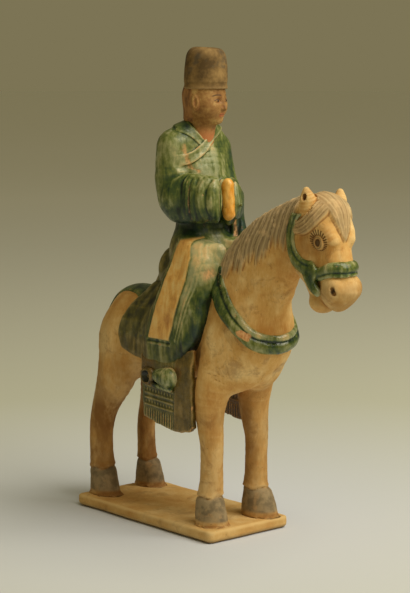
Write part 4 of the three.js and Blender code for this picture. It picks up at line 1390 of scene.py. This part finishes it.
def eye_zone(v):
    middle, reach = (158.6, 222.2), 9
    return (np.abs(v[:, 1]) > 7) & (np.hypot(v[:, 0] - middle[0], v[:, 2] - middle[1]) < reach)


def collar_zone(v):
    return (v[:, 2] > 262) & (v[:, 0] > 24) & (np.abs(v[:, 1]) < 18)


def face_zone(v):
    h = head_frame(columns(v))
    return (h[0] > 6) & (np.abs(h[1]) < 11)


# Camera, light and floor, at the photograph's viewing angle

FRAME_WIDTH = 410
FOCAL_PIXELS = 1850
CAMERA_TURN = math.radians(50.04)
CAMERA_AIM = math.radians(50.04 - 0.83)
CAMERA_DIP = math.radians(7.65)
CAMERA_AWAY = 1.366
CAMERA_HEIGHT = 0.351
CAMERA_SIDEWAYS = 0.0017
CAMERA_REACH = 20
FLOOR_RADIUS = 14.0
FLOOR_SIDES = 96
BACKDROP = (124, 116, 85)


def add_camera():
    data = bpy.data.cameras.new("camera")
    data.sensor_fit = "HORIZONTAL"
    data.sensor_width = 36
    data.lens = data.sensor_width * FOCAL_PIXELS / FRAME_WIDTH
    data.clip_end = CAMERA_REACH
    camera = bpy.data.objects.new("camera", data)
    bpy.context.scene.collection.objects.link(camera)
    camera.location = (math.sin(CAMERA_TURN) * CAMERA_AWAY,
                       -math.cos(CAMERA_TURN) * CAMERA_AWAY - CAMERA_SIDEWAYS, CAMERA_HEIGHT)
    camera.rotation_euler = (math.pi / 2 - CAMERA_DIP, 0, CAMERA_AIM)
    bpy.context.scene.camera = camera


def add_light(name, turn, lift, away, size, power, colour):
    """A soft square light: turn is its azimuth as for a camera, lift its height, both in degrees."""
    data = bpy.data.lights.new(name, "AREA")
    data.shape = "SQUARE"
    data.size = size
    data.energy = power
    data.color = tone(*colour)[:3]
    light = bpy.data.objects.new(name, data)
    light.visible_camera = False
    bpy.context.scene.collection.objects.link(light)
    turn, lift = math.radians(turn), math.radians(lift)
    middle = 0.18
    light.location = (math.sin(turn) * math.cos(lift) * away, -math.cos(turn) * math.cos(lift) * away,
                      math.sin(lift) * away + middle)
    light.rotation_euler = (math.pi / 2 - lift, 0, turn)


def add_floor():
    """A flat round floor, wide enough to reach behind the figure in every view."""
    turns = [2 * math.pi * i / FLOOR_SIDES for i in range(FLOOR_SIDES)]
    rim = [(FLOOR_RADIUS * math.cos(turn), FLOOR_RADIUS * math.sin(turn), 0) for turn in turns]
    mesh = bpy.data.meshes.new("floor")
    mesh.from_pydata(rim, [], [range(FLOOR_SIDES)])
    mesh.materials.append(floor_paper())
    floor = bpy.data.objects.new("floor", mesh)
    bpy.context.scene.collection.objects.link(floor)


def add_world():
    """The backdrop above the floor's far edge, which is a soft light all round as well."""
    world = bpy.data.worlds.new("studio")
    world.use_nodes = True
    background = world.node_tree.nodes["Background"]
    background.inputs["Color"].default_value = tone(*BACKDROP)
    background.inputs["Strength"].default_value = 1.0
    bpy.context.scene.world = world
    bpy.context.scene.view_settings.view_transform = "Standard"


add_camera()
build_pieces()
add_light("key", 108, 50, 1.7, 1.5, 33, (255, 248, 232))
add_light("fill", 20, 20, 1.7, 1.4, 1.0, (255, 226, 186))
add_floor()
add_world()
